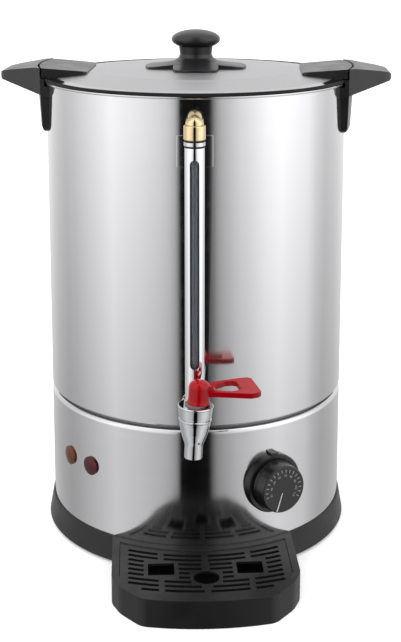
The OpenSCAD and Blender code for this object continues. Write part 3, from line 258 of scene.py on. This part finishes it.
def stainless_lid():
    brim_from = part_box("lid_pan")[1].x - BRIM_WIDTH
    material, tree, shader = new_finish("stainless_spun_satin", Metallic=1.0,
                                        Base_Color=colour("#bebec0"))
    place = add(tree, "ShaderNodeTexCoord").outputs["Object"]
    flat = add(tree, "ShaderNodeVectorMath", {0: place, 1: (1, 1, 0)}, operation="MULTIPLY")
    radius = add(tree, "ShaderNodeVectorMath", {0: flat.outputs["Vector"]},
                 operation="LENGTH").outputs["Value"]
    rings = add(tree, "ShaderNodeTexNoise", {"W": radius, "Scale": 1 / (RINGS_MM * MM),
                "Detail": 3.0}, noise_dimensions="1D").outputs["Fac"]
    brim = add(tree, "ShaderNodeMapRange", {"Value": radius, "From Min": brim_from - BRIM_FADE,
               "From Max": brim_from + BRIM_FADE}).outputs["Result"]
    wear(tree, shader, rings, 0.38, 0.44)
    treat_apart(tree, shader, brim, BRIM_ROUGH)
    emboss(tree, shader, rings, 0.002)
    return material


FINISHES["lid"] = stainless_lid()
print("the bright brim is", BRIM_WIDTH / MM, "mm wide")

# %% [markdown]
# ## Plated and cast metals
#
# The tap and the gauge guard are brass under chrome plate: a clean mirror with a cold tint, which
# one sees as black and white bands. Screws, the tap's spring and pin, and the bottom plate are zinc
# plated. The rest is hidden in the base: a cast heat spreader, the heater's sheath and the copper
# feelers. Each could have its own nodes, but plating, casting and heat all leave a mottle, so one
# noise is enough for the gloss and the relief, and only its numbers change from metal to metal.

# %% Plated and cast metals
def mottled_metal(name, code, rough, spot_mm, depth_mm):
    material, tree, shader = new_finish(name, Metallic=1.0, Base_Color=colour(code))
    mottle = grain(tree, (spot_mm,) * 3)
    wear(tree, shader, mottle, *rough)
    emboss(tree, shader, mottle, depth_mm)
    return material


# Chrome: a mirror. The drawn tube of the gauge guard is polished brighter than the cast tap
CHROME = {"rough": (0.03, 0.06), "spot_mm": 6, "depth_mm": 0.004}
FINISHES["chrome"] = mottled_metal("chrome_plate_on_brass", "#cfd0d3", **CHROME)
FINISHES["bright_chrome"] = mottled_metal("chrome_plate_on_drawn_tube", "#eeeff1", **CHROME)
# Zinc plate: greyer and duller than chrome, with the fine mottle of the plating bath
FINISHES["zinc"] = mottled_metal("zinc_plate", "#b9bbbd", rough=(0.28, 0.42), spot_mm=1.6,
                                 depth_mm=0.01)
# Cast aluminium: pale and matt, with the skin of its mould
FINISHES["aluminium"] = mottled_metal("cast_aluminium", "#c9c9ca", rough=(0.4, 0.55),
                                      spot_mm=2.5, depth_mm=0.03)
# Heater sheath: a steel tube that its own heat has turned brown and dull
FINISHES["sheath"] = mottled_metal("oxidised_element_sheath", "#4a4441", rough=(0.45, 0.6),
                                   spot_mm=3, depth_mm=0.02)
# Drawn copper: warm, with a soft shine
FINISHES["copper"] = mottled_metal("drawn_copper", "#c98262", rough=(0.2, 0.35), spot_mm=2,
                                   depth_mm=0.01)
print("finishes so far", len(FINISHES))

# %% [markdown]
# ## Turned brass
#
# The gauge's gland nut and its cap are bare brass from a lathe, and the inlet's pins take the same
# finish. The tool leaves rings a third of a millimetre apart, and the metal tarnishes in patches,
# which the eye reads as a change of both colour and gloss. A ring texture would need each piece's
# own axis, but noise that is squeezed along Z gives rings to all of them at once.

# %% Brass
TURNING_MM = (8, 8, 0.35)
TARNISH_MM = (4, 4, 4)


def turned_brass():
    material, tree, shader = new_finish("turned_brass", Metallic=1.0)
    tarnish = grain(tree, TARNISH_MM)
    tint = add(tree, "ShaderNodeMix", {"Factor": tarnish, "A": colour("#ecd9b4"),
               "B": colour("#d9bd8a")}, data_type="RGBA")
    tree.links.new(tint.outputs[MIXED_COLOUR], shader.inputs["Base Color"])
    wear(tree, shader, tarnish, 0.08, 0.16)
    emboss(tree, shader, grain(tree, TURNING_MM), 0.004)
    return material


FINISHES["brass"] = turned_brass()
print("turning marks", TURNING_MM[2], "mm apart")

# %% [markdown]
# ## Moulded plastics and rubbers
#
# Handles, lugs and knobs are moulded phenolic: nearly black, satin from a spark-eroded mould. The
# drip tray and the base ring are polypropylene with a slightly coarser, deeper and duller grain.
# Each could have its own nodes, but a mould always gives the same two things: a fine grain in
# relief, and gloss that wears in wide clouds where hands and cloths rub. So two noises carry them
# all, and the print on the dial as well, because ink is a thin film of plastic.

# %% Moulded plastics
WEAR_CLOUDS_MM = 22


def moulded(name, code, rough, grain_mm, depth_mm, gloss=0.5):
    material, tree, shader = new_finish(name, Base_Color=colour(code), IOR=1.5,
                                        Specular_IOR_Level=gloss)
    wear(tree, shader, grain(tree, (WEAR_CLOUDS_MM,) * 3), *rough)
    emboss(tree, shader, grain(tree, (grain_mm,) * 3), depth_mm)
    return material


# Phenolic: black with a satin shine
FINISHES["phenolic"] = moulded("moulded_phenolic_black", "#202022", rough=(0.26, 0.36),
                               grain_mm=0.5, depth_mm=0.012)
# Polypropylene: a deeper black with little shine
FINISHES["polypropylene"] = moulded("moulded_polypropylene_black", "#161617", rough=(0.34, 0.46),
                                    grain_mm=0.6, depth_mm=0.02, gloss=0.32)
# ABS of the dial: the blackest, so that its print stands out
FINISHES["dial"] = moulded("moulded_abs_black", "#131314", rough=(0.26, 0.36), grain_mm=0.5,
                           depth_mm=0.01)
# Urea of the controls' housings: cream, with a soft shine
FINISHES["cream"] = moulded("moulded_urea_cream", "#dcd5c2", rough=(0.35, 0.45), grain_mm=0.6,
                            depth_mm=0.01)
# Grey nylon of the lamp nuts and the wear washer: waxy
FINISHES["grey_nylon"] = moulded("moulded_nylon_grey", "#77787a", rough=(0.4, 0.5),
                                 grain_mm=0.6, depth_mm=0.01)
# Silicone sleeve of the leads: brick red, rubbery. The reset button shares it
FINISHES["wire"] = moulded("silicone_insulation_red", "#7d2018", rough=(0.45, 0.55),
                           grain_mm=0.5, depth_mm=0.01)
# Silicone rubber and pressed fibre: dull all over, without a clear highlight
RUBBER = {"rough": (0.55, 0.7), "grain_mm": 0.8, "depth_mm": 0.01, "gloss": 0.35}
FINISHES["black_silicone"] = moulded("moulded_silicone_black", "#19191a", **RUBBER)
FINISHES["white_silicone"] = moulded("moulded_silicone_white", "#e4e1d8", **RUBBER)
FINISHES["fibre"] = moulded("pressed_fibre_red", "#8a3a2a", **RUBBER)
# Pad-printed ink: white where it is thick, grey where it is thin, and always matt
INK = {"rough": (0.5, 0.62), "grain_mm": 0.4, "depth_mm": 0.004}
FINISHES["ink"] = moulded("pad_print_white", "#e9e9e6", **INK)
FINISHES["thin_ink"] = moulded("pad_print_thin_white", "#a9a9a6", **INK)
print("finishes so far", len(FINISHES))

# %% [markdown]
# ## Red lever and lamp lenses
#
# The lever is red nylon from a polished mould, so a clear hard highlight lies over a softer one:
# that is the coat. The indicator lenses are tinted polycarbonate, dark while the lamps are off.
# Light goes in and comes back coloured, most where one looks straight in. Real transparency would
# show the lamp holder behind, so a colour that deepens towards the edge stands for it.

# %% Glossy red and lenses
FLOW_MM = 14             # the slow waves of plastic that has flowed round a core
LENS_RIBS_MM = 1.4       # the small facets inside a lens that spread the lamp's light


def red_nylon():
    material, tree, shader = new_finish("polished_nylon_red", Base_Color=colour("#a6000f"),
                                        IOR=1.5, Specular_IOR_Level=0.2, Coat_Weight=0.15,
                                        Coat_Roughness=0.05)
    flow = grain(tree, (FLOW_MM,) * 3)
    wear(tree, shader, flow, 0.16, 0.26)
    emboss(tree, shader, flow, 0.05)
    return material


def lens(name, edge, middle):
    """A tinted lens, paler where one looks straight into it."""
    material, tree, shader = new_finish(name, IOR=1.585, Specular_IOR_Level=0.2,
                                        Coat_Weight=0.12, Coat_Roughness=0.03)
    facing = add(tree, "ShaderNodeLayerWeight", {"Blend": 0.45}).outputs["Facing"]
    tint = add(tree, "ShaderNodeMix", {"Factor": facing, "A": colour(middle),
               "B": colour(edge)}, data_type="RGBA")
    tree.links.new(tint.outputs[MIXED_COLOUR], shader.inputs["Base Color"])
    ribs = grain(tree, (LENS_RIBS_MM,) * 3)
    wear(tree, shader, ribs, 0.1, 0.2)
    emboss(tree, shader, ribs, 0.02)
    return material


FINISHES["lever"] = red_nylon()
FINISHES["amber"] = lens("polycarbonate_amber", "#2c0f08", "#7c3e1c")
FINISHES["red_lens"] = lens("polycarbonate_red", "#1c0207", "#5a0616")
print("lens ribs", LENS_RIBS_MM, "mm apart")

# %% [markdown]
# ## Borosilicate gauge glass
#
# A sight glass is a plain tube. It is a clear dielectric with an IOR of 1.47 and a faint grey
# tint of scale on its inside. A perfectly clear tube would vanish behind the guard's slot, so the
# scale also runs down it in streaks that dull it.

# %% Glass
SCALE_STREAKS_MM = (1.2, 1.2, 7)


def sight_glass():
    material, tree, shader = new_finish("borosilicate_glass", IOR=1.47,
                                        Base_Color=colour("#adb2b6"), Transmission_Weight=0.85)
    wear(tree, shader, grain(tree, SCALE_STREAKS_MM), 0.04, 0.16)
    return material


FINISHES["glass"] = sight_glass()
print("finishes in all", len(FINISHES))

# %% [markdown]
# ## Which node gets which finish
#
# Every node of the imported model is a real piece, so each takes the finish of its own stock. That
# could be said where each piece comes up, but one list shows at a glance what is made of what.
# Where a new piece stands for a node further down, it reads its finish from the same list.

# %% Finish of each node
FINISH_OF = {
    "tank": ["tank_shell"],
    "stainless": ["tank_bottom", "skirt", "gauge_bracket"],
    "lid": ["lid_pan"],
    "chrome": ["tap_body", "tap_bonnet", "tap_stem", "shank_nut"],
    "bright_chrome": ["gauge_guard"],
    "brass": ["gauge_nut", "gauge_cap", "inlet_pins"],
    "zinc": ["bottom_plate", "base_screws", "thermostat_screws", "inlet_screws", "handle_screws",
             "lug_screws", "knob_screw", "tap_spring", "lever_pin"],
    "aluminium": ["heat_spreader"],
    "sheath": ["heating_element"],
    "copper": ["thermostat_probe", "cutout_probe"],
    "phenolic": ["handle_left", "handle_right", "lid_lug_left", "lid_lug_right", "lid_knob",
                 "inlet_socket"],
    "polypropylene": ["base_ring", "drip_tray", "drip_grille"],
    "dial": ["thermostat_bezel", "thermostat_knob"],
    "black_silicone": ["feet", "rim_seal", "gauge_seals"],
    "white_silicone": ["seat_cup"],
    "fibre": ["shank_washers"],
    "cream": ["thermostat_body", "cutout_body", "lamp_bodies", "terminal_block"],
    "grey_nylon": ["lamp_nuts", "wear_washer"],
    "wire": ["wiring", "reset_button"],
    "lever": ["tap_lever"],
    "glass": ["gauge_glass"],
    "amber": ["amber_lens"],
    "red_lens": ["red_lens"],
}


def set_finish(piece, finish):
    piece.data.materials.clear()
    piece.data.materials.append(FINISHES[finish])


for finish, names in FINISH_OF.items():
    for name in names:
        set_finish(NODES[name], finish)
bare = set(NODES) - {n for names in FINISH_OF.values() for n in names}
print("nodes without a finish:", sorted(bare))

# %% [markdown]
# ## Pieces that stand for a node
#
# Some pieces need more than a finish, such as a rounded edge. The imported mesh
# isn't touched. A new piece takes the node's place instead, and it has to move as the node did, so
# the record is asked for the node's body, and the list above for its finish.


def body_of(node):
    bodies = RECORD["behaviour"]["bodies"]
    return next(b for b, members in bodies.items() if node in members)


def stand_in(piece, node):
    """Lets a new piece stand for a node: its finish and the body it rides on."""
    finish = next(f for f, names in FINISH_OF.items() if node in names)
    set_finish(piece, finish)
    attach(piece, body_of(node))
    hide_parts(node)
    return piece


def new_piece(name, mesh, smooth=True):
    """Turns a bmesh into an object in the scene."""
    data = bpy.data.meshes.new(name)
    mesh.to_mesh(data)
    mesh.free()
    for polygon in data.polygons:
        polygon.use_smooth = smooth
    piece = bpy.data.objects.new(name, data)
    bpy.context.scene.collection.objects.link(piece)
    return piece


print("the lever rides on", body_of("tap_lever"))

# %% [markdown]
# ## Softened edges of moulded and cast pieces
#
# Nothing moulded or cast has a knife edge. The pieces could be rebuilt by hand, but rounding a
# copy keeps every face where the frame says. The copy is cleaned of the triangles inside flat
# faces, its sharp edges are bevelled, and face-weighted normals keep the flats flat. The drip
# tray's front corners are rounded before that, because they are much rounder than its edges.

# %% A copy with rounded edges
WELD = 0.002 * MM        # points closer than this are one
FLAT_DEG = 0.4           # faces that turn less than this become one
SHARP_DEG = 28           # edges that turn more than this are rounded
EDGE_STEPS = 3
UPRIGHT = 0.99           # an edge is upright if it rises by more than this share of its length
CORNER_DEG = 12          # upright edges that turn more than this are corners
CORNER_STEPS = 6


def round_front_corners(mesh, radius):
    """Rounds the outer upright corners in the front half of a mesh."""
    ys = [v.co.y for v in mesh.verts]
    middle = (min(ys) + max(ys)) / 2
    corners = [e for e in mesh.edges
               if abs((e.verts[0].co - e.verts[1].co).normalized().z) > UPRIGHT and e.is_convex
               and e.verts[0].co.y < middle
               and e.calc_face_angle(0) > math.radians(CORNER_DEG)]
    bmesh.ops.bevel(mesh, geom=corners, offset=radius, segments=CORNER_STEPS, profile=0.5,
                    affect="EDGES", clamp_overlap=True)


def rounded(node, radius_mm, corner_mm=0):
    """Replaces a node by a copy of it whose sharp edges are rounded."""
    mesh = bmesh.new()
    mesh.from_mesh(NODES[node].data)
    bmesh.ops.remove_doubles(mesh, verts=mesh.verts, dist=WELD)
    bmesh.ops.dissolve_limit(mesh, angle_limit=math.radians(FLAT_DEG), verts=mesh.verts,
                             edges=mesh.edges)
    if corner_mm:
        round_front_corners(mesh, corner_mm * MM)
    piece = new_piece(node + "_rounded", mesh)
    edge = piece.modifiers.new("edge_radius", "BEVEL")
    edge.width = radius_mm * MM
    edge.segments = EDGE_STEPS
    edge.limit_method = "ANGLE"
    edge.angle_limit = math.radians(SHARP_DEG)
    edge.use_clamp_overlap = True
    flat = piece.modifiers.new("flat_faces", "WEIGHTED_NORMAL")
    flat.keep_sharp = True
    return stand_in(piece, node)


print("edges that turn more than", SHARP_DEG, "degrees get a radius")

# %% [markdown]
# How round an edge is tells the eye how the piece was made. Handles get more than two millimetres
# so that they are kind to hands, the small mouldings about half a millimetre, which is what their
# tools leave, and turned or cast metal a few tenths. One radius for all would be shorter to write,
# but it would make toys of them.

# %% Radius of each edge
EDGE_RADII_MM = {
    "handle_left": 2.2, "handle_right": 2.2, "lid_lug_left": 2.0, "lid_lug_right": 2.0,
    "lid_knob": 2.2, "tap_lever": 1.1, "base_ring": 0.6, "drip_grille": 0.35,
    "thermostat_bezel": 0.6, "thermostat_knob": 0.6, "gauge_nut": 0.5, "gauge_cap": 0.5,
    "tap_bonnet": 0.4, "tap_body": 0.3, "gauge_bracket": 0.4, "gauge_guard": 0.25,
    "inlet_socket": 0.6, "shank_nut": 0.4, "feet": 0.8,
}
for node, radius in EDGE_RADII_MM.items():
    rounded(node, radius)
rounded("drip_tray", 1.0, corner_mm=5)
print("rounded", len(EDGE_RADII_MM) + 1, "pieces")

# %% [markdown]
# ## The tap's spring
#
# Pressing the lever lifts the stem, and the stem's collar squeezes a coil spring against the
# bonnet. Here a copy of the wire stands for the node and rides on its body, with a mesh of its
# own. The point at its fixed upper end is worked out but not used, so the copy keeps the node's
# shape at every pose.

# %% Copy of the spring
def squeezed_spring():
    mesh = bmesh.new()
    mesh.from_mesh(NODES["tap_spring"].data)
    spring = stand_in(new_piece("tap_spring_wire", mesh), "tap_spring")
    spring_low, spring_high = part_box("tap_spring")
    top = (spring_low + spring_high) / 2
    top.z = spring_high.z
    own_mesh(spring)


squeezed_spring()

# %% [markdown]
# ## Where the dial faces
#
# The dial sits on the skirt, turned to one side, so its print needs a frame of its own: outwards
# along the joint's axis, upwards, and to the right as one reads it. These could be typed in, but
# the joint already knows them, and the height of the face is that of the knob's outermost point.

# %% The dial's own frame
dial_joint = JOINTS["thermostat_turn"]
OUTWARD = -Vector(dial_joint["axis"]).normalized()
UP = Vector((0, 0, 1))
RIGHT = UP.cross(OUTWARD)
dial_at = Vector(dial_joint["pos_m"])
face_height = max((v.co - dial_at).dot(OUTWARD) for v in NODES["thermostat_knob"].data.vertices)
dial_face = Matrix.Translation(dial_at + OUTWARD * face_height) @ Matrix(
    (RIGHT, UP, OUTWARD)).transposed().to_4x4()
print("dial face centre", [round(c, 4) for c in dial_face.translation])

# %% [markdown]
# ## The dial's print
#
# A thermostat's dial is pad printed: a pad lifts wet ink off an etched plate and sets it down as
# a film of a few hundredths of a millimetre. Ink drawn in a texture would blur up close, so the
# marks are real thin solids: wedges for the ticks, numbers from text turned to mesh, and one long
# pointer. All of them turn with the dial.

# %% Strokes and numbers of ink
INK_MM = 0.06
NUMBERS_AT_MM = 13.4
NUMBER_SIZE_MM = 3.1


def stroke(mesh, angle_deg, from_to_mm, widths_mm):
    """A flat printed stroke that runs outwards at an angle clockwise from the top."""
    turn = Matrix.Rotation(math.radians(-angle_deg), 4, "Z")
    (start, end), (inner, outer) = from_to_mm, widths_mm
    outline = [(-inner / 2, start), (inner / 2, start), (outer / 2, end), (-outer / 2, end)]
    corners = [mesh.verts.new(turn @ Vector((x * MM, y * MM, 0))) for x, y in outline]
    face = mesh.faces.new(corners)
    top = bmesh.ops.extrude_face_region(mesh, geom=[face])["geom"]
    bmesh.ops.translate(mesh, vec=(0, 0, INK_MM * MM),
                        verts=[g for g in top if isinstance(g, bmesh.types.BMVert)])


def number(mesh, text, angle_deg):
    """Adds a number as mesh, its foot towards the dial's centre."""
    curve = bpy.data.curves.new("number", "FONT")
    curve.body = text
    curve.size = NUMBER_SIZE_MM * MM
    curve.align_x = "CENTER"
    curve.align_y = "CENTER"
    curve.extrude = INK_MM * MM / 2
    curve.resolution_u = 3
    holder = bpy.data.objects.new("number", curve)
    bpy.context.scene.collection.objects.link(holder)
    bpy.context.view_layer.update()
    data = bpy.data.meshes.new_from_object(holder.evaluated_get(
        bpy.context.evaluated_depsgraph_get()))
    data.transform(Matrix.Rotation(math.radians(-angle_deg), 4, "Z")
                   @ Matrix.Translation((0, NUMBERS_AT_MM * MM, INK_MM * MM / 2)))
    mesh.from_mesh(data)
    bpy.data.objects.remove(holder)
    bpy.data.curves.remove(curve)


print("the film of ink is", INK_MM, "mm thick")

# %% [markdown]
# The scale runs clockwise over most of a turn, with two steps from number to number, and the
# pointer lies in the gap that the scale leaves. Angles could be typed in one by one, but a scale
# is even, so a loop works them out from its two ends. The ink takes its own finishes: the thick
# ink for the pointer, the thin ink for the ticks and numbers. The ink has no slot in the record
# and takes the one of the white silicone.

# %% Ink on the dial
SCALE_FROM, SCALE_TO = -105, 120     # clockwise from the top, in degrees
TICKS = 17
TICK_MM = (16.2, 19.2)               # from and to, measured from the dial's centre
TICK_WIDTHS_MM = (0.4, 1.0)          # at those two ends
NUMBERS = [30, 40, 50, 60, 70, 80, 90, 100, 110]
POINTER_DEG = 199
POINTER_MM = (3.5, 21.5)
POINTER_WIDTHS_MM = (0.8, 1.3)


def printed(name, mesh, ink):
    bmesh.ops.recalc_face_normals(mesh, faces=mesh.faces)
    mesh.transform(dial_face)
    piece = new_piece(name, mesh, smooth=False)
    set_finish(piece, ink)
    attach(piece, "dial")


def along_scale(step, steps):
    """The angle of one of some evenly spaced marks, the first and last at the scale's ends."""
    return SCALE_FROM + (SCALE_TO - SCALE_FROM) * step / (steps - 1)


pointer = bmesh.new()
stroke(pointer, POINTER_DEG, POINTER_MM, POINTER_WIDTHS_MM)
printed("dial_pointer", pointer, "ink")

ticks = bmesh.new()
for step in range(TICKS):
    stroke(ticks, along_scale(step, TICKS), TICK_MM, TICK_WIDTHS_MM)
printed("dial_ticks", ticks, "thin_ink")

numbers = bmesh.new()
for step, value in enumerate(NUMBERS):
    number(numbers, str(value), along_scale(step, len(NUMBERS)))
printed("dial_numbers", numbers, "thin_ink")
print("printed", TICKS, "ticks and", len(NUMBERS), "numbers")

# %% [markdown]
# ## The studio
#
# Steel shows what stands around it. The set is a white room with two wide soft boxes, one on each
# side of the lens, and a dark gap between them where the camera stands: the gap draws the black
# line down the middle of the tank, and the boxes draw the bright flanks. Lamps and boards could be
# built, but they would stand in the way of other views. So it is all in the world, written as
# brightness against compass direction.

# %% Brightness of the studio
# Compass direction in degrees from the tap, positive to the right, and brightness there. A colour
# ramp holds 32 points at most
STUDIO = [(-180, 0.95), (-152, 1.1), (-132, 0.93), (-118, 0.84), (-106, 0.93), (-87, 1.2),
          (-78, 1.33), (-66, 1.53), (-54, 1.42), (-40, 1.3), (-26.5, 1.12), (-20, 0.98),
          (-14.9, 0.7), (-13, 0.42), (-11.4, 0.01), (0, 0.006), (10.8, 0.015), (13.2, 0.28),
          (16.5, 0.58), (20, 0.74), (26.5, 0.93), (33, 1.12), (40, 1.25), (54.5, 1.57),
          (68, 1.74), (78, 1.62), (95, 1.45), (106, 1.12), (118, 0.93), (132, 0.98),
          (152, 1.08), (180, 0.95)]
LEVEL = 2.0               # the ramp holds brightness divided by this
LOW_LIGHT = (-22, 0.57)   # elevation in degrees and how much light is left there
HIGH_LIGHT = (-7, 1.0)
WALL_LIGHT, CEILING_LIGHT = 0.6, 1.6   # light on diffuse surfaces from the side and from above
WHITE = (1, 1, 1, 1)
print("brightest", max(light for _, light in STUDIO), "in", len(STUDIO), "points")

# %% [markdown]
# The brightness is looked up by direction. An arc tangent turns the direction's X and Y into the
# compass, from -180 to 180 degrees, and the ramp gives the light there. Below the horizon it fades
# to what a pale floor would send back. A painted picture of the room could do the same, but a list
# of a few points stays easy to change.

# %% Studio light from a direction
def studio_light(tree, axes):
    """The studio's brightness in the compass direction that axes point to."""
    front = add(tree, "ShaderNodeMath", {0: axes.outputs["Y"], 1: -1.0}, operation="MULTIPLY")
    compass = add(tree, "ShaderNodeMath", {0: axes.outputs["X"], 1: front.outputs[0]},
                  operation="ARCTAN2")
    turn = add(tree, "ShaderNodeMapRange", {"Value": compass.outputs[0], "From Min": -math.pi,
               "From Max": math.pi})
    ramp = add(tree, "ShaderNodeValToRGB", {"Fac": turn.outputs["Result"]})
    points = ramp.color_ramp.elements
    while len(points) < len(STUDIO):
        points.new(0.5)
    for point, (degrees, light) in zip(points, STUDIO):
        point.position = (degrees + 180) / 360
        point.color = (light / LEVEL,) * 3 + (1,)
    fade = add(tree, "ShaderNodeMapRange", {"Value": axes.outputs["Z"],
               "From Min": math.sin(math.radians(LOW_LIGHT[0])),
               "From Max": math.sin(math.radians(HIGH_LIGHT[0])),
               "To Min": LOW_LIGHT[1] * LEVEL, "To Max": HIGH_LIGHT[1] * LEVEL})
    return add(tree, "ShaderNodeBackground", {"Color": ramp.outputs["Color"],
               "Strength": fade.outputs["Result"]}).outputs[0]


print("below", LOW_LIGHT[0], "degrees the studio keeps", LOW_LIGHT[1], "of its light")

# %% [markdown]
# Three kinds of ray get three answers. Mirrored rays see the studio. Camera and glass rays see
# plain white, so that the picture's ground is clean. Diffuse surfaces get light that grows towards
# the ceiling, as it does under a large overhead soft box. One light for all would be simpler, but
# then either the ground is grey or the steel burns out.

# %% World
def seen_straight(tree):
    """1 for rays from the camera, also through glass, and 0 for mirrored or scattered ones."""
    rays = add(tree, "ShaderNodeLightPath")
    return add(tree, "ShaderNodeMath", {0: rays.outputs["Is Camera Ray"],
               1: rays.outputs["Is Transmission Ray"]}, operation="MAXIMUM").outputs[0]


def build_world():
    world = bpy.data.worlds.new("studio")
    bpy.context.scene.world = world
    world.use_nodes = True
    tree = world.node_tree
    tree.nodes.clear()
    direction = add(tree, "ShaderNodeTexCoord").outputs["Generated"]
    axes = add(tree, "ShaderNodeSeparateXYZ", {"Vector": direction})
    height = add(tree, "ShaderNodeMapRange", {"Value": axes.outputs["Z"], "From Min": 0.0,
                 "From Max": 1.0, "To Min": WALL_LIGHT, "To Max": CEILING_LIGHT})
    room = add(tree, "ShaderNodeBackground", {"Color": WHITE,
               "Strength": height.outputs["Result"]})
    plain = add(tree, "ShaderNodeBackground", {"Color": WHITE, "Strength": 1.0})
    rays = add(tree, "ShaderNodeLightPath")
    mirrored = add(tree, "ShaderNodeMixShader", {"Fac": rays.outputs["Is Glossy Ray"],
                   1: room.outputs[0], 2: studio_light(tree, axes)})
    pick = add(tree, "ShaderNodeMixShader", {"Fac": seen_straight(tree),
               1: mirrored.outputs[0], 2: plain.outputs[0]})
    add(tree, "ShaderNodeOutputWorld", {"Surface": pick.outputs[0]})
    print("world built from", len(tree.nodes), "nodes")


build_world()

# %% [markdown]
# ## The floor
#
# The floor is a matt board. It is a large disc, so that its edge lies far outside the view, and
# it lets glossy rays through, because the tank would otherwise mirror nothing but floor. A
# brighter lamp could make it white, but would burn out the steel. So the camera sees it white,
# with the urn's own soft shadow, while the light that it throws back on the urn's underside is
# that of a grey board.

# %% Floor
FLOOR_RADIUS = 30
FLOOR_GAP = 0.0002       # keeps the board just clear of the feet
FLOOR_GLOW = 0.3         # lifts the board to white for the camera


def white_board():
    material, tree, shader = new_finish("white_board", Roughness=0.9)
    seen = seen_straight(tree)
    tint = add(tree, "ShaderNodeMix", {"Factor": seen, "A": colour("#8a8a8a"),
               "B": colour("#f4f4f4")}, data_type="RGBA")
    tree.links.new(tint.outputs[MIXED_COLOUR], shader.inputs["Base Color"])
    strength = add(tree, "ShaderNodeMath", {0: seen, 1: FLOOR_GLOW}, operation="MULTIPLY")
    glow = add(tree, "ShaderNodeEmission", {"Color": WHITE, "Strength": strength.outputs[0]})
    both = add(tree, "ShaderNodeAddShader", {0: shader.outputs["BSDF"], 1: glow.outputs[0]})
    surface = next(n for n in tree.nodes if n.type == "OUTPUT_MATERIAL").inputs["Surface"]
    tree.links.new(both.outputs[0], surface)
    return material


def build_floor():
    mesh = bmesh.new()
    bmesh.ops.create_circle(mesh, cap_ends=True, segments=96, radius=FLOOR_RADIUS)
    floor = new_piece("floor", mesh, smooth=False)
    floor.data.materials.append(white_board())
    floor.location.z = cad_low.z - FLOOR_GAP
    floor.visible_glossy = False
    print("floor at", round(floor.location.z, 4))


build_floor()

# %% [markdown]
# ## The key light
#
# The world alone lights the urn so evenly that it hardly throws a shadow. A sun would throw a
# hard one. One soft box, high in front on the left, throws a soft one. It hides from glossy rays,
# because the studio in the world already holds the soft boxes that the steel mirrors.

# %% Key light
KEY_AT = (-0.9, -1.2, 1.7)
KEY_AIM = (0, 0, 0.25)
KEY_SIZE = 0.9
KEY_WATTS = 6

key_data = bpy.data.lights.new("key", "AREA")
key_data.energy = KEY_WATTS
key_data.size = KEY_SIZE
key = bpy.data.objects.new("key", key_data)
bpy.context.scene.collection.objects.link(key)
key.location = KEY_AT
key_beam = Vector(KEY_AIM) - Vector(KEY_AT)
key.rotation_euler = key_beam.to_track_quat("-Z", "Y").to_euler()
key.visible_glossy = False
print("key light", round(key_beam.length, 2), "from its aim")

# %% [markdown]
# ## The camera
#
# The lens is a long one, a little above the lid's knob and tilted down. More tilt would make the
# tank's sides lean, so part of the view downwards comes from shifting the frame down instead, as
# on a view camera.

# %% Camera
LENS_MM = 74.49
SENSOR_MM = 36.0
CAMERA_AT = (8.9 * MM, -1291.1 * MM, 600 * MM)
PITCH_DEG = 11.184
YAW_DEG = 0.194
SHIFT = -0.22            # in shares of the frame's longer side, below zero for down

camera_data = bpy.data.cameras.new("camera")
camera = bpy.data.objects.new("camera", camera_data)
bpy.context.scene.collection.objects.link(camera)
camera_data.sensor_fit = "AUTO"
camera_data.sensor_width = SENSOR_MM
camera_data.lens = LENS_MM
camera_data.shift_y = SHIFT
camera.location = CAMERA_AT
camera.rotation_euler = (math.radians(90 - PITCH_DEG), 0, math.radians(YAW_DEG))
bpy.context.scene.camera = camera
bpy.context.scene.view_settings.view_transform = "Standard"
print("camera", round(camera.location.z - cad_high.z, 3), "above the urn")
